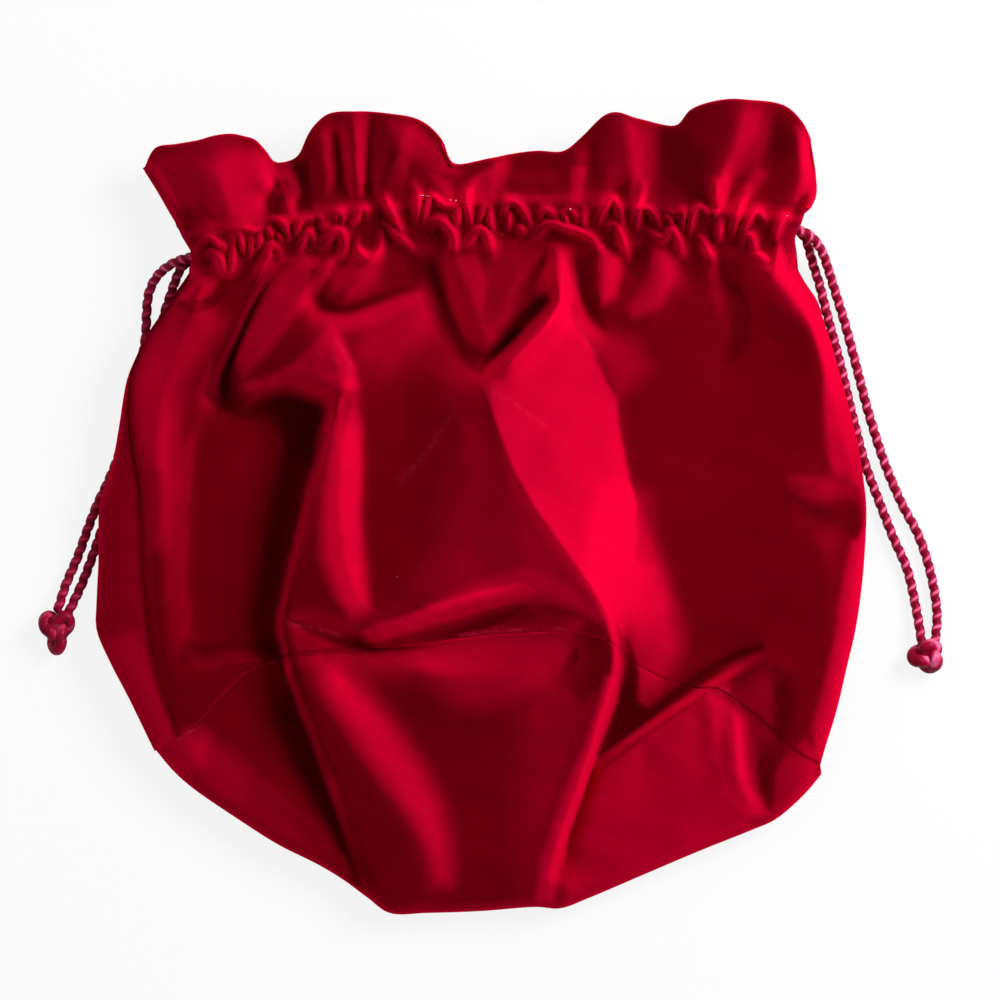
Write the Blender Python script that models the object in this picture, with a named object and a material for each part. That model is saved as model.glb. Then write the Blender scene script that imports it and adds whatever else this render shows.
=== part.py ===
# Velvet drawstring dust bag with a round base, lying empty on its back, its two cords out to the sides.
# Metres, +Z up. The mouth points to +Y and the origin is on the table, below the middle of the bag.
import bpy
import math
import numpy as np

for thing in list(bpy.data.objects):
    bpy.data.objects.remove(thing, do_unlink=True)

# Driving dimensions, in metres
bag_width = 0.284           # widest place of the laid bag
bag_length = 0.300          # from the fold of the base to the edge of the frill
fold_height = 0.047         # highest fold of the front above the table
cloth = 0.0011              # velvet, one layer
frill_cloth = 0.0022        # velvet of the frill, turned over and so doubled
seam_gap = 0.0005           # between two panels where they are sewn edge to edge
cord_diameter = 0.004
cord_room = 0.0004          # play round each cord in the casing
casing_wall = 0.0012        # velvet between the cords and the outside of the casing
neck_gap = 0.009            # open height between the front and back casings
gather_depth = 0.0022       # of the gathers along the front casing
under_gather_depth = 0.0011     # of the gathers that are pressed to the table
gather_pairs = 26           # gathers along the casing, each one ridge and one valley
edge_height = 0.0095        # of the widest line of the sides above the table
base_edge_height = 0.0065   # of the fold of the base above the table
side_seam_height = 0.0145   # of the left side seam, which lies on the front
knot_height = 0.0092

mm = 0.001
plan_width = 0.284          # the plan points below are millimetres of a bag of this size
plan_length = 0.300
plan_fold_height = 0.047    # and the heights of the folds are for this one
wide = bag_width / plan_width
long = bag_length / plan_length
low_height = 12.0           # folds above this height, in mm, grow with fold_height

# Casing: two cords lie side by side in a flat channel through the front, and in one through the back
channel_width = 2 * cord_diameter + 3.5 * cord_room
channel_height = cord_diameter + 2 * cord_room
casing_half = channel_width / 2 + casing_wall
lane = (cord_diameter + cord_room) / 2
back_channel_z = under_gather_depth + casing_wall + channel_height / 2
back_casing_top = back_channel_z + channel_height / 2 + casing_wall
front_casing_bottom = back_casing_top + neck_gap
front_channel_z = front_casing_bottom + casing_wall + channel_height / 2
casing_top = front_channel_z + channel_height / 2 + casing_wall + gather_depth
turn_z = (front_channel_z + back_channel_z) / 2
turn_radius = (front_channel_z - back_channel_z) / 2
gap_radius = turn_radius + cord_diameter / 2 + 0.0014   # inner radius of the casing's open ends
rim_step = 0.0035           # from the casing to the rows beside it

# Plan lines, in mm from the middle of the bag, x to the right and y to the mouth
casing_line = [(-130, 92.5), (-112, 94.0), (-97, 95.4), (-80, 97.5), (-62, 101.5), (-45, 103), (-20, 104.6), (0, 107),
               (20, 107), (40, 105.2), (60, 104), (85, 102), (100, 101.6), (113, 100), (130, 97.5)]
mouth_edge = [(-124, 124), (-120, 131.5), (-108, 134), (-98, 136.5), (-90, 137), (-84, 135), (-80, 131),
              (-76, 126.5), (-68, 128), (-63, 137), (-60, 141), (-55, 144.5), (-38, 144.5), (-24, 142.5),
              (-16, 136), (-11, 126), (4, 128), (20, 130.3), (30, 130.3), (38, 136), (46, 144), (50, 145),
              (58, 142.5), (72, 139.8), (78, 146), (90, 149.7), (100, 149.3), (112, 147), (118, 141.5),
              (121.5, 135)]
frill_left = [(-124, 124), (-118, 116), (-113, 106.5), (-111.5, 103.5)]
frill_right = [(121.5, 135), (123.5, 122), (123.5, 113), (120.5, 107.5)]
side_left = [(-109, 85), (-111, 81), (-114, 75.5), (-118.5, 69.5), (-122.5, 63.5), (-126, 57), (-128.5, 50),
             (-129.5, 40), (-129.5, 30), (-127.5, 17), (-126, 8), (-125.5, 0), (-125, -20), (-124, -33),
             (-122.5, -45), (-120.5, -58), (-117.5, -69), (-112, -84)]
side_right = [(116.5, 89), (119, 83.5), (124, 76), (126.5, 68), (129.3, 60), (131.5, 52), (134.3, 42),
              (136.7, 33), (139.2, 22), (141, 10), (142, 0), (141.5, -15), (140.2, -30), (138, -45),
              (135, -58), (131, -75), (127, -88), (125, -95)]
outline_left = [(-109.5, 85), (-112, 81), (-115, 75), (-120.5, 68), (-125, 60.5), (-128, 54), (-130.5, 48),
                (-132, 41), (-133.5, 31), (-136.5, 15), (-139.5, 6), (-141, 0), (-141.3, -20), (-142, -35),
                (-142, -45), (-137, -57), (-130, -70.5), (-121.5, -88)]
base_seam = [(-112, -84), (-105, -80), (-97, -71), (-88, -62), (-77, -56.5), (-65, -54), (-45, -52.5),
             (-28, -51.5), (-10, -48.5), (10, -46.5), (30, -46), (42, -48.5), (55, -57), (68, -63.5),
             (80, -67.5), (91, -71), (101, -77), (109, -84), (116, -90), (125, -95)]
base_fold = [(-121.5, -88), (-114, -97), (-107, -103.3), (-90, -115), (-75, -124.5), (-60, -132), (-50, -138),
             (-42, -144), (-34, -149.7), (-20, -149.7), (0, -149), (20, -147.5), (29, -148), (40, -144),
             (60, -135.5), (80, -127), (100, -119), (108, -115.5), (115, -110), (121, -104), (125.5, -98.5)]
under_seam = [(-109, -85.5), (-99, -78), (-84, -68), (-60, -59), (-30, -54), (0, -52), (40, -54), (70, -61),
              (92, -72), (106, -83), (115, -91)]

# Fold lines of the front, in mm: x, y and the height above the table
fold_lines = [
    # the outline, and the left side seam
    [(-109, 85, 13), (-114, 75.5, 14), (-122.5, 63.5, 14.5), (-128.5, 50, 14.5), (-129.5, 35, 14.5),
     (-127.5, 17, 14.5), (-125.5, 0, 14.5), (-125, -20, 14.5), (-124, -33, 14.5), (-122.5, -45, 14.5),
     (-120.5, -58, 14.5), (-117.5, -69, 14), (-112, -84, 13)],
    [(-142, -20, 10), (-142, -45, 10), (-137, -57, 10), (-121.5, -88, 8)],
    [(116.5, 89, 13), (124, 76, 11), (131.5, 52, 9.5), (139.2, 22, 9.5), (142, 0, 9.5), (140.2, -30, 9.5),
     (135, -58, 9.5), (127, -88, 9.5), (125, -95, 9.5)],
    [(-121.5, -88, 7), (-107, -103.3, 7), (-75, -124.5, 7), (-50, -138, 7), (-34, -149.7, 7), (0, -149, 7),
     (29, -148, 7), (60, -135.5, 7), (100, -119, 7), (115, -110, 7), (125.5, -98.5, 7)],
    # left side: the long soft fold inside the seam, then the sunken pocket
    [(-104, 83, 25), (-108, 70, 26), (-114, 55, 26), (-119, 38, 25), (-120, 22, 23), (-119, 5, 21),
     (-119, -20, 19), (-118, -45, 18), (-114, -62, 17)],
    [(-98, 62, 24), (-103, 45, 22), (-110, 28, 17)],
    [(-104, 25, 12), (-106, 5, 11), (-107, -20, 11), (-106, -45, 11)],
    [(-90, 28, 13), (-90, 5, 13), (-91, -20, 12.5), (-92, -45, 12)],
    [(-72, 34, 11), (-68, 20, 11), (-72, 0, 10.5), (-76, -20, 10.5), (-79, -40, 10.5), (-77, -55, 11)],
    # narrow crevice from the casing down to the pocket, and the folds on both sides of it
    [(-74, 88, 15), (-79, 83, 11), (-84, 75, 10), (-88, 65, 10), (-92, 55, 10), (-95, 46, 10), (-95, 38, 11)],
    [(-79, 88, 21), (-85, 78, 22), (-92, 64, 22), (-99, 50, 20), (-101, 40, 16)],
    [(-70, 88, 23), (-76, 79, 24), (-83, 64, 24), (-87, 54, 23), (-89, 46, 20)],
    [(-112, 77, 22), (-104, 76, 21), (-97, 79, 20), (-93, 86, 20)],
    # shelf above the pocket
    [(-51, 42, 35), (-60, 41.5, 28), (-66, 43.5, 25), (-72, 44, 23), (-80, 43, 21), (-88, 39, 18)],
    [(-58, 37, 14), (-66, 39.5, 12), (-72, 40, 12), (-80, 39, 12), (-87, 35, 12)],
    [(-48, 50, 36), (-58, 50, 31), (-68, 48.5, 28), (-80, 47, 24), (-88, 45, 21)],
    # pleats that run down from the casing on the left
    [(-53, 95, 24), (-60, 88, 27), (-68, 76, 28), (-75, 66, 27), (-80, 58, 26)],
    [(-50, 92, 18), (-56, 84, 18), (-61, 77, 18), (-59, 72, 19), (-50, 71.5, 20), (-40, 75, 20), (-26, 81, 21)],
    [(-42, 94, 25), (-45, 86, 27), (-52, 78, 25)],
    # left ridge of the middle flap, its slopes and the shadow gap beside it
    [(-24, 78, 24), (-40, 71, 27), (-52, 66, 31), (-55, 60, 34), (-53, 52, 36), (-51, 43, 37), (-53, 33, 36),
     (-56, 20, 35), (-58, 5, 35), (-59, -10, 34), (-58, -22, 33), (-55, -32, 32), (-50, -40, 31)],
    [(-46, 56, 33), (-46.5, 46, 32), (-44, 30, 28), (-43, 10, 26), (-44, -10, 26), (-44, -25, 26), (-41, -40, 27)],
    [(-53, 40, 31), (-60, 28, 29), (-63, 15, 28), (-66, 2, 27), (-70, -15, 27), (-73, -30, 26), (-75, -42, 25),
     (-73, -54, 24), (-69, -65, 24), (-64, -77, 24), (-58, -93, 23), (-52, -107, 21), (-46, -122, 18),
     (-40, -137, 14)],
    [(-58, 34, 14), (-64, 22, 13), (-67.5, 10, 13), (-71, -4, 12.5), (-75, -18, 12.5), (-78, -32, 12),
     (-80, -43, 12), (-78, -57, 12), (-73.5, -68, 12), (-68.5, -80, 12), (-62.5, -95, 11.5),
     (-56.5, -109, 11), (-50.5, -124, 10.5), (-44.5, -138, 9.5)],
    [(-30, 55, 25), (-28, 30, 26), (-26, 5, 28), (-24, -20, 29)],
    [(-8, 30, 31), (-6, 5, 34), (-2, -20, 36)],
    # tongue of cloth under the casing, between two deep valleys
    [(-19, 91, 17), (-16, 82, 16), (-12, 70, 16), (-8, 60, 16), (-3, 53, 18)],
    [(-27, 86, 20), (-24, 74, 23)],
    [(-12, 96, 25), (-8, 86, 27), (-3, 76, 26), (1, 66, 23), (3, 60, 20)],
    [(12, 88, 24), (8, 76, 23), (5, 68, 21)],
    [(24, 92, 20), (18, 81, 19), (10, 70, 18), (3, 61, 18)],
    [(26, 76, 26), (22, 71.5, 21), (13, 62, 19), (5, 54, 19), (0, 50, 21)],
    # long middle ridge, from the casing to the fold of the base, and the slope on its right
    [(28, 97, 27), (28, 88, 33), (28.5, 77, 39), (22, 70, 40), (14, 62, 41), (6, 54, 42), (1, 47, 42),
     (4, 36, 43), (7, 26, 44), (12, 12, 45), (19, 0, 46), (25, -8, 47), (36, -23, 47), (43, -33, 45),
     (49, -43, 42), (51, -53, 39), (50, -62, 36), (48, -72, 34), (45, -82, 32), (40, -94, 29),
     (34, -108, 26), (29, -121, 23), (25.5, -133, 19), (25, -143, 14)],
    [(33, 68, 34), (42, 54, 29), (48, 42, 26), (51, 30, 25), (53, 18, 24), (58, 4, 22), (64, -10, 21),
     (70, -25, 20), (72, -40, 18), (68, -55, 16), (62, -68, 14)],
    [(55, -47, 24), (57, -57, 19), (56.5, -65, 16), (53.5, -75, 13), (49.5, -85, 12), (45, -96, 12),
     (39, -110, 12), (33, -123, 11), (30.5, -135, 10.5)],
    # pleats on the right
    [(34, 93, 22), (36, 82, 22), (38, 73, 23), (44, 66, 25)],
    [(46, 95, 25), (44, 86, 28), (43, 77, 28)],
    [(56, 94, 18), (53, 84, 22), (48, 73, 26)],
    [(67, 98, 24), (66, 88, 26), (62, 78, 27), (56, 70, 27)],
    [(74, 92, 20), (78, 82, 20), (86, 74, 20)],
    [(82, 96, 23), (84, 88, 23)],
    [(90, 94, 15), (91, 88, 14), (94, 81, 14), (97.5, 75, 15), (98, 68, 16), (95, 61, 17), (88, 56, 18)],
    [(98, 95, 25), (104, 91, 27), (108, 84, 28), (116, 74, 26), (122, 66, 24), (125, 57, 23), (126, 42, 22),
     (127, 25, 21), (128, 14, 20)],
    [(108, 62, 19), (100, 54, 19), (92, 48, 18), (104, 52, 18), (114, 58, 20)],
    [(110, 40, 20), (112, 20, 19), (95, 20, 19), (90, 0, 18), (100, -20, 17), (95, -40, 16)],
    [(117, 8, 22), (124, 6, 20), (133, 7, 16)],
    [(118, 1, 17), (128, 0, 14), (136, -4, 11)],
    [(124, -15, 19), (128, -30, 19), (127, -50, 18), (121, -68, 17), (115, -80, 16)],
    # right lobe of the base, which rises over the deep valley beside the middle ridge
    [(43, -93, 19), (51, -88, 21), (60, -81, 23), (70, -74, 24), (80, -67.5, 25), (90, -60.5, 25),
     (98, -57, 24), (105, -55, 21), (112, -57, 19)],
    [(44, -85, 11), (50, -81, 11), (60, -74, 11), (70, -67, 11), (80, -60, 11), (90, -53.5, 12), (98, -49, 14)],
    [(92, -72, 27), (93, -88, 27), (94.5, -100, 24), (99, -109, 17)],
    [(99, -78, 20), (101, -92, 16), (102, -103, 13), (107, -110, 11)],
    [(108, -66, 15), (109, -78, 13), (110, -88, 13)],
    [(118, -88, 17), (115, -97, 16), (110, -105, 13)],
    [(80, -80, 23), (78, -100, 22), (70, -118, 17)],
    [(60, -92, 20), (55, -110, 19), (48, -128, 15)],
    [(45, -97, 19), (40, -112, 18), (36, -125, 15)],
    # crease that lies across the flap above the base
    [(-70, -42, 25), (-60, -44, 24), (-50, -47.5, 22), (-41, -50.5, 21)],
    [(-40, -47.5, 31), (-30, -45, 33), (-20, -41.5, 35), (-10, -38.5, 36), (0, -35.5, 37), (10, -33, 38),
     (20, -31.5, 40)],
    [(-38, -53, 19), (-28, -52, 19), (-20, -49.5, 19), (-10, -46, 20), (0, -43, 22), (10, -40, 26),
     (20, -38, 31)],
    # bulge of the base below it, with a bright slope on each side
    [(-68, -48, 27), (-60, -48, 26)],
    [(36, -42, 34), (28, -52, 33), (14, -61, 32), (0, -63, 31), (-14, -63, 30), (-24, -60, 27)],
    [(38, -52, 29), (33, -64, 28), (24, -75, 27)],
    [(46, -48, 38), (44, -62, 35), (38, -80, 31), (30, -100, 26), (22, -118, 22), (20, -134, 17)],
    [(-62, -60, 27), (-56, -72, 29), (-47, -88, 29), (-38, -101, 28), (-28, -114, 26), (-21, -127, 22),
     (-18, -140, 15)],
    [(-50, -62, 22), (-38, -74, 23), (-27, -85, 23), (-18, -99, 22), (-12, -114, 20), (-9, -130, 16),
     (-9, -142, 12)],
    [(5, -85, 25), (4, -105, 21), (4, -125, 16)],
    # left lobe of the base
    [(-104, -62, 17), (-97, -60, 17), (-90, -57.5, 17), (-84, -58.5, 17), (-76, -58.5, 15)],
    [(-105, -54, 12), (-97, -52, 12), (-90, -50.5, 12), (-84, -51, 12)],
    [(-112, -71, 16), (-104, -75, 16), (-98, -80, 15)],
    [(-88, -70, 14), (-87, -85, 13), (-84, -96, 13)],
    [(-108, -90, 16), (-104, -96, 15)],
    [(-80, -104, 16), (-70, -112, 15), (-60, -121, 14), (-50, -132, 12)],
    # casing
    [(-100, 95, 26), (-80, 97.5, 26), (-45, 103, 26), (0, 107, 26), (40, 105, 26), (85, 102, 26), (109, 101, 26)],
    [(-98, 87, 23), (-80, 88, 23)],
    # frill
    [(-124, 124, 10), (-118, 116, 11), (-111.5, 103.5, 13)],
    [(121.5, 135, 10), (123.5, 122, 11), (123.5, 113, 12), (120.5, 107.5, 13)],
    [(-118, 127, 20), (-112, 115, 21), (-107, 106, 20)],
    [(-100, 134, 29), (-97, 121, 30), (-94, 110, 27), (-91, 104, 23)],
    [(-104, 112, 19), (-100, 106, 18)],
    [(-84, 131, 30), (-80, 119, 29), (-74, 110, 24)],
    [(-79, 113, 20), (-77, 119, 21)],
    [(-73, 121, 27), (-70, 115, 26)],
    [(-70, 127, 17), (-68, 118, 16), (-67, 112, 17)],
    [(-60, 139, 24), (-58, 122, 23), (-59, 112, 20)],
    [(-53, 138, 17), (-51, 122, 16), (-51, 112, 16)],
    [(-48, 143, 27), (-47, 128, 27), (-46, 116, 25)],
    [(-41, 143, 18), (-42, 128, 17), (-42, 115, 17)],
    [(-28, 141, 29), (-32, 130, 28), (-37, 120, 26), (-37, 114, 23)],
    [(-26, 127, 20), (-26, 118, 20)],
    [(-14, 128, 28), (-20, 122, 25)],
    [(-9, 123, 25), (-4, 117, 22)],
    [(5, 126, 24), (3, 116, 23)],
    [(11, 127, 16), (13, 117, 16), (24, 117, 15), (28, 128, 15)],
    [(34, 130, 21), (33, 118, 21)],
    [(42, 134, 17), (40, 118, 17)],
    [(52, 142, 27), (54, 130, 27), (55, 118, 24), (50, 113, 22)],
    [(66, 139, 16), (66, 125, 16), (68, 118, 16)],
    [(78, 143, 20), (76, 128, 19), (74, 117, 18)],
    [(96, 148, 29), (93, 136, 30), (89, 125, 28), (86, 113, 25)],
    [(92, 122, 19), (91, 112, 18)],
    [(108, 143, 20), (106, 125, 18), (104, 114, 18)],
    [(116, 138, 22), (118, 125, 21), (114, 112, 21)],
]


def along(points, shares):
    # points at the given shares of a polyline's length
    points = np.array(points, float)
    steps = np.linalg.norm(np.diff(points, axis=0), axis=1)
    run = np.concatenate(([0.0], np.cumsum(steps))) / steps.sum()
    return np.stack([np.interp(shares, run, column) for column in points.T], axis=1)


def patch(top, bottom, left, right, across, down):
    # plan points between four edge lines: rows run down, columns run across
    t, b = along(top, across), along(bottom, across)
    l, r = along(left, down), along(right, down)
    u, v = across[None, :, None], down[:, None, None]
    rows = (1 - v) * t[None] + v * b[None] + (1 - u) * l[:, None] + u * r[:, None]
    corners = (1 - v) * ((1 - u) * t[0] + u * t[-1]) + v * ((1 - u) * b[0] + u * b[-1])
    return rows - corners


# Height of the laid front: the cloth takes an even curve between the fold lines

plan_low = (-152.0, -160.0)
plan_high = (152.0, 160.0)
grid_steps = (8.0, 4.0, 2.0)        # mm, from coarse to fine
stretch_rate = 0.03
bend_rate = 0.022
soften_rounds = 6           # rounds the folds to what the columns and rows of the panels can show


def fold_grid(step):
    columns = int((plan_high[0] - plan_low[0]) / step) + 1
    rows = int((plan_high[1] - plan_low[1]) / step) + 1
    total, count = np.zeros((rows, columns)), np.zeros((rows, columns))
    for line in fold_lines:
        for start, end in zip(line[:-1], line[1:]):
            start, end = np.array(start, float), np.array(end, float)
            length = np.linalg.norm((end - start)[:2])
            for share in np.linspace(0, 1, int(2 * length / step) + 2):
                x, y, z = start + (end - start) * share
                column = int(round((x - plan_low[0]) / step))
                row = int(round((y - plan_low[1]) / step))
                total[row, column] += z
                count[row, column] += 1
    held = count > 0
    total[held] /= count[held]
    return total, held


def sample(heights, step, x, y):
    # height at plan points, between the grid's own points
    column = np.clip((x - plan_low[0]) / step, 0, heights.shape[1] - 1.001)
    row = np.clip((y - plan_low[1]) / step, 0, heights.shape[0] - 1.001)
    c, r = column.astype(int), row.astype(int)
    u, v = column - c, row - r
    low = heights[r, c] * (1 - u) + heights[r, c + 1] * u
    high = heights[r + 1, c] * (1 - u) + heights[r + 1, c + 1] * u
    return low * (1 - v) + high * v


def curvature(heights):
    near = np.pad(heights, 1, mode="edge")
    return near[:-2, 1:-1] + near[2:, 1:-1] + near[1:-1, :-2] + near[1:-1, 2:] - 4 * heights


def relaxed_front():
    heights, last_step = None, None
    for step in grid_steps:
        target, held = fold_grid(step)
        rows, columns = target.shape
        if heights is None:
            heights = np.full(target.shape, target[held].mean())
            for _ in range(500):
                heights += 0.24 * curvature(heights)
                heights[held] = target[held]
        else:
            x = plan_low[0] + step * np.arange(columns)[None, :] + np.zeros((rows, 1))
            y = plan_low[1] + step * np.arange(rows)[:, None] + np.zeros((1, columns))
            heights = sample(heights, last_step, x, y)
        for _ in range(300):
            heights[held] = target[held]
            bend = curvature(heights)
            heights = heights + stretch_rate * bend - bend_rate * curvature(bend)
        last_step = step
    for _ in range(soften_rounds):
        heights = heights + 0.2 * curvature(heights)
    return heights


front_heights = relaxed_front()


def front_z(plan):
    # height of the front's outside in metres at plan points
    z = sample(front_heights, grid_steps[-1], plan[..., 0], plan[..., 1])
    above = np.clip(z - low_height, 0, None)
    growth = (fold_height - low_height * mm) / (plan_fold_height - low_height * mm)
    return (np.minimum(z, low_height) + above * growth) * mm


def casing_y(x):
    # the casing's middle line, evened out so that the cords run in soft bends
    line = np.array(casing_line, float)
    spread = np.arange(-18, 19, 6)
    return sum(np.interp(x + step, line[:, 0], line[:, 1]) for step in spread) / len(spread)


def placed(plan, z):
    # plan points in mm and heights in metres, as points in metres
    return np.stack([plan[..., 0] * mm * wide, plan[..., 1] * mm * long, z], axis=-1)


# Panels

columns = 2 * gather_pairs
steps_across = np.arange(columns + 1) / columns
middle_share = np.sin(steps_across * math.pi)
across = steps_across + middle_share * (0.0035 * np.sin(23 * steps_across) + 0.0025 * np.sin(71 * steps_across))
is_valley = (np.arange(columns + 1) % 2).astype(float)
is_valley[[0, -1]] = 0
casing_ends = [(-111.5, 120.5), (-110.0, 118.5), (-107.3, 115.7), (-109.0, 116.5)]     # mm, the rows' ends
casing_offsets = [casing_half + rim_step, casing_half, -casing_half, -casing_half - rim_step]
turn_inset = 10.0           # mm from the end of the casing to the middle of a cord's turn
block_inset = 1.2           # mm more to where the casing is closed round its channel
frill_shares = np.array([0.0, 0.3, 0.65, 1.0])
body_shares = np.array([0, 0.035, 0.085, 0.14, 0.2, 0.265, 0.335, 0.41, 0.485, 0.56, 0.635, 0.71, 0.785, 0.86,
                        0.93, 1.0])
shared_body_rows = [0, 1, 3, 5, 7, 9, 11, 13, 15]       # rows of the front that the back has too
upper_casing_row = len(frill_shares)
lower_casing_row = upper_casing_row + 1
neck_row = lower_casing_row + 1
base_shares = np.array([0, 0.13, 0.29, 0.47, 0.66, 0.85, 1.0])


def casing_row(order, shares):
    left, right = casing_ends[order]
    x = left + (right - left) * shares
    return np.stack([x, casing_y(x) + casing_offsets[order] / mm / long], axis=1)


def end_arc(x, ends, radius):
    # half height of the casing's open end beside the turning cords, and where that end is
    inward = np.minimum(x - ends[0], ends[1] - x)
    reach = np.clip(turn_inset - inward, 0, turn_inset) * mm * wide
    return np.sqrt(np.maximum(radius ** 2 - reach ** 2, (0.3 * radius) ** 2)), inward < turn_inset + block_inset


def steepness(points):
    # how much thicker a layer is when measured straight up, from the slope of its surface
    normal = np.cross(np.gradient(points, axis=1), np.gradient(points, axis=0))
    normal /= np.linalg.norm(normal, axis=-1, keepdims=True)
    return np.clip(1 / np.maximum(np.abs(normal[..., 2]), 0.1), 1.0, 1.8)


def inward(angle, side):
    # direction into the bag from its outside, 0 straight down and 90 level; side is -1 left and 1 right
    turn = math.radians(angle)
    return np.array((-side * math.sin(turn), 0.0, -math.cos(turn)))


def seam_angle(y):
    # the left seam lies on the front of the bag, and turns to the very edge near the neck
    return float(np.interp(y, (-84, 20, 70, 84), (10, 10, 60, 90)))


def front_grid():
    root, neck = casing_row(0, across), casing_row(3, across)
    frill = patch(mouth_edge, root, frill_left, frill_right, across, frill_shares)
    body = patch(neck, base_seam, side_left, side_right, across, body_shares)
    casing = np.array([casing_row(1, across), casing_row(2, across)])
    plan = np.concatenate([frill, casing, body])
    outer = placed(plan, front_z(plan))
    outer[upper_casing_row - 1, :, 2] -= 0.5 * gather_depth * is_valley
    outer[neck_row, :, 2] -= 0.6 * gather_depth * is_valley
    outer[neck_row:, -1, 2] = np.maximum(outer[neck_row:, -1, 2], edge_height)
    outer[neck_row + 2:, 0, 2] = np.minimum(outer[neck_row + 2:, 0, 2], side_seam_height)
    thick = np.where(np.arange(len(plan)) < upper_casing_row, frill_cloth, cloth)
    for order, row in ((1, upper_casing_row), (2, lower_casing_row)):
        arc, open_end = end_arc(plan[row, :, 0], casing_ends[order], gap_radius + cloth)
        outer[row, :, 2] = np.where(open_end, turn_z + arc, casing_top - gather_depth * is_valley)
    for row in range(neck_row + 1, len(plan)):
        if row - neck_row not in shared_body_rows:
            before, after = row - 1, row + 1
            outer[row, [0, -1]] = (outer[before, [0, -1]] + outer[after, [0, -1]]) / 2
    inner = outer.copy()
    inner[..., 2] -= thick[:, None] * steepness(outer)
    for row in range(len(plan)):
        left, right = seam_angle(plan[row, 0, 1]), 90.0
        if row in (upper_casing_row, lower_casing_row):
            left = right = 40.0
        for step, share in enumerate((1.0, 0.5, 0.15)):
            inner[row, step] = outer[row, step] + thick[row] * inward(left * share, -1)
            inner[row, -1 - step] = outer[row, -1 - step] + thick[row] * inward(right * share, 1)
    for order, row in ((1, upper_casing_row), (2, lower_casing_row)):
        closed = ~end_arc(plan[row, :, 0], casing_ends[order], gap_radius)[1]
        inner[row, closed, 2] = front_casing_bottom
    for row in range(neck_row + 1, len(plan)):
        if row - neck_row not in shared_body_rows:
            inner[row, [0, -1]] = (inner[row - 1, [0, -1]] + inner[row + 1, [0, -1]]) / 2
    inner[-1, 3:-3] = outer[-1, 3:-3] - np.array((0, 0, 1.2 * cloth))
    return plan, outer, inner


def left_wrap(seam, edge, width, seam_z, edge_z):
    # section of the back from the seam round the left side to the table, in six points
    seam, edge = np.array(seam, float), np.array(edge, float)
    steps = [seam, seam + 0.7 * (edge - seam), edge, edge + (1.6 * width, 0), edge + (9 * width, 0),
             edge + (19 * width, 0)]
    clear = min(cord_diameter + 0.0007, 0.5 * edge_z)
    heights = [seam_z, edge_z + 0.6 * (seam_z - edge_z), edge_z, 0.67 * edge_z, clear, 0.0]
    return np.array(steps), np.array(heights)


def right_wrap(edge, width, edge_z):
    # section of the back from the table to the right side seam, in four points
    edge = np.array(edge, float)
    steps = [edge - (14 * width, 0), edge - (6 * width, 0), edge - (1.6 * width, 0), edge]
    return np.array(steps), np.array([0.0, 0.24, 0.6, 1.0]) * edge_z


def under_bow(front_plan, shares):
    # how far the seam under the bag bows away from a straight line between its ends
    start = left_wrap(front_plan[-1, 0], outline_left[-1], 0.33, 0, 0)[0][-1]
    end = right_wrap(front_plan[-1, -1], 0.33, 0)[0][0]
    return along([start, *under_seam, end], shares) - (start + (end - start) * shares[:, None])


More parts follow.
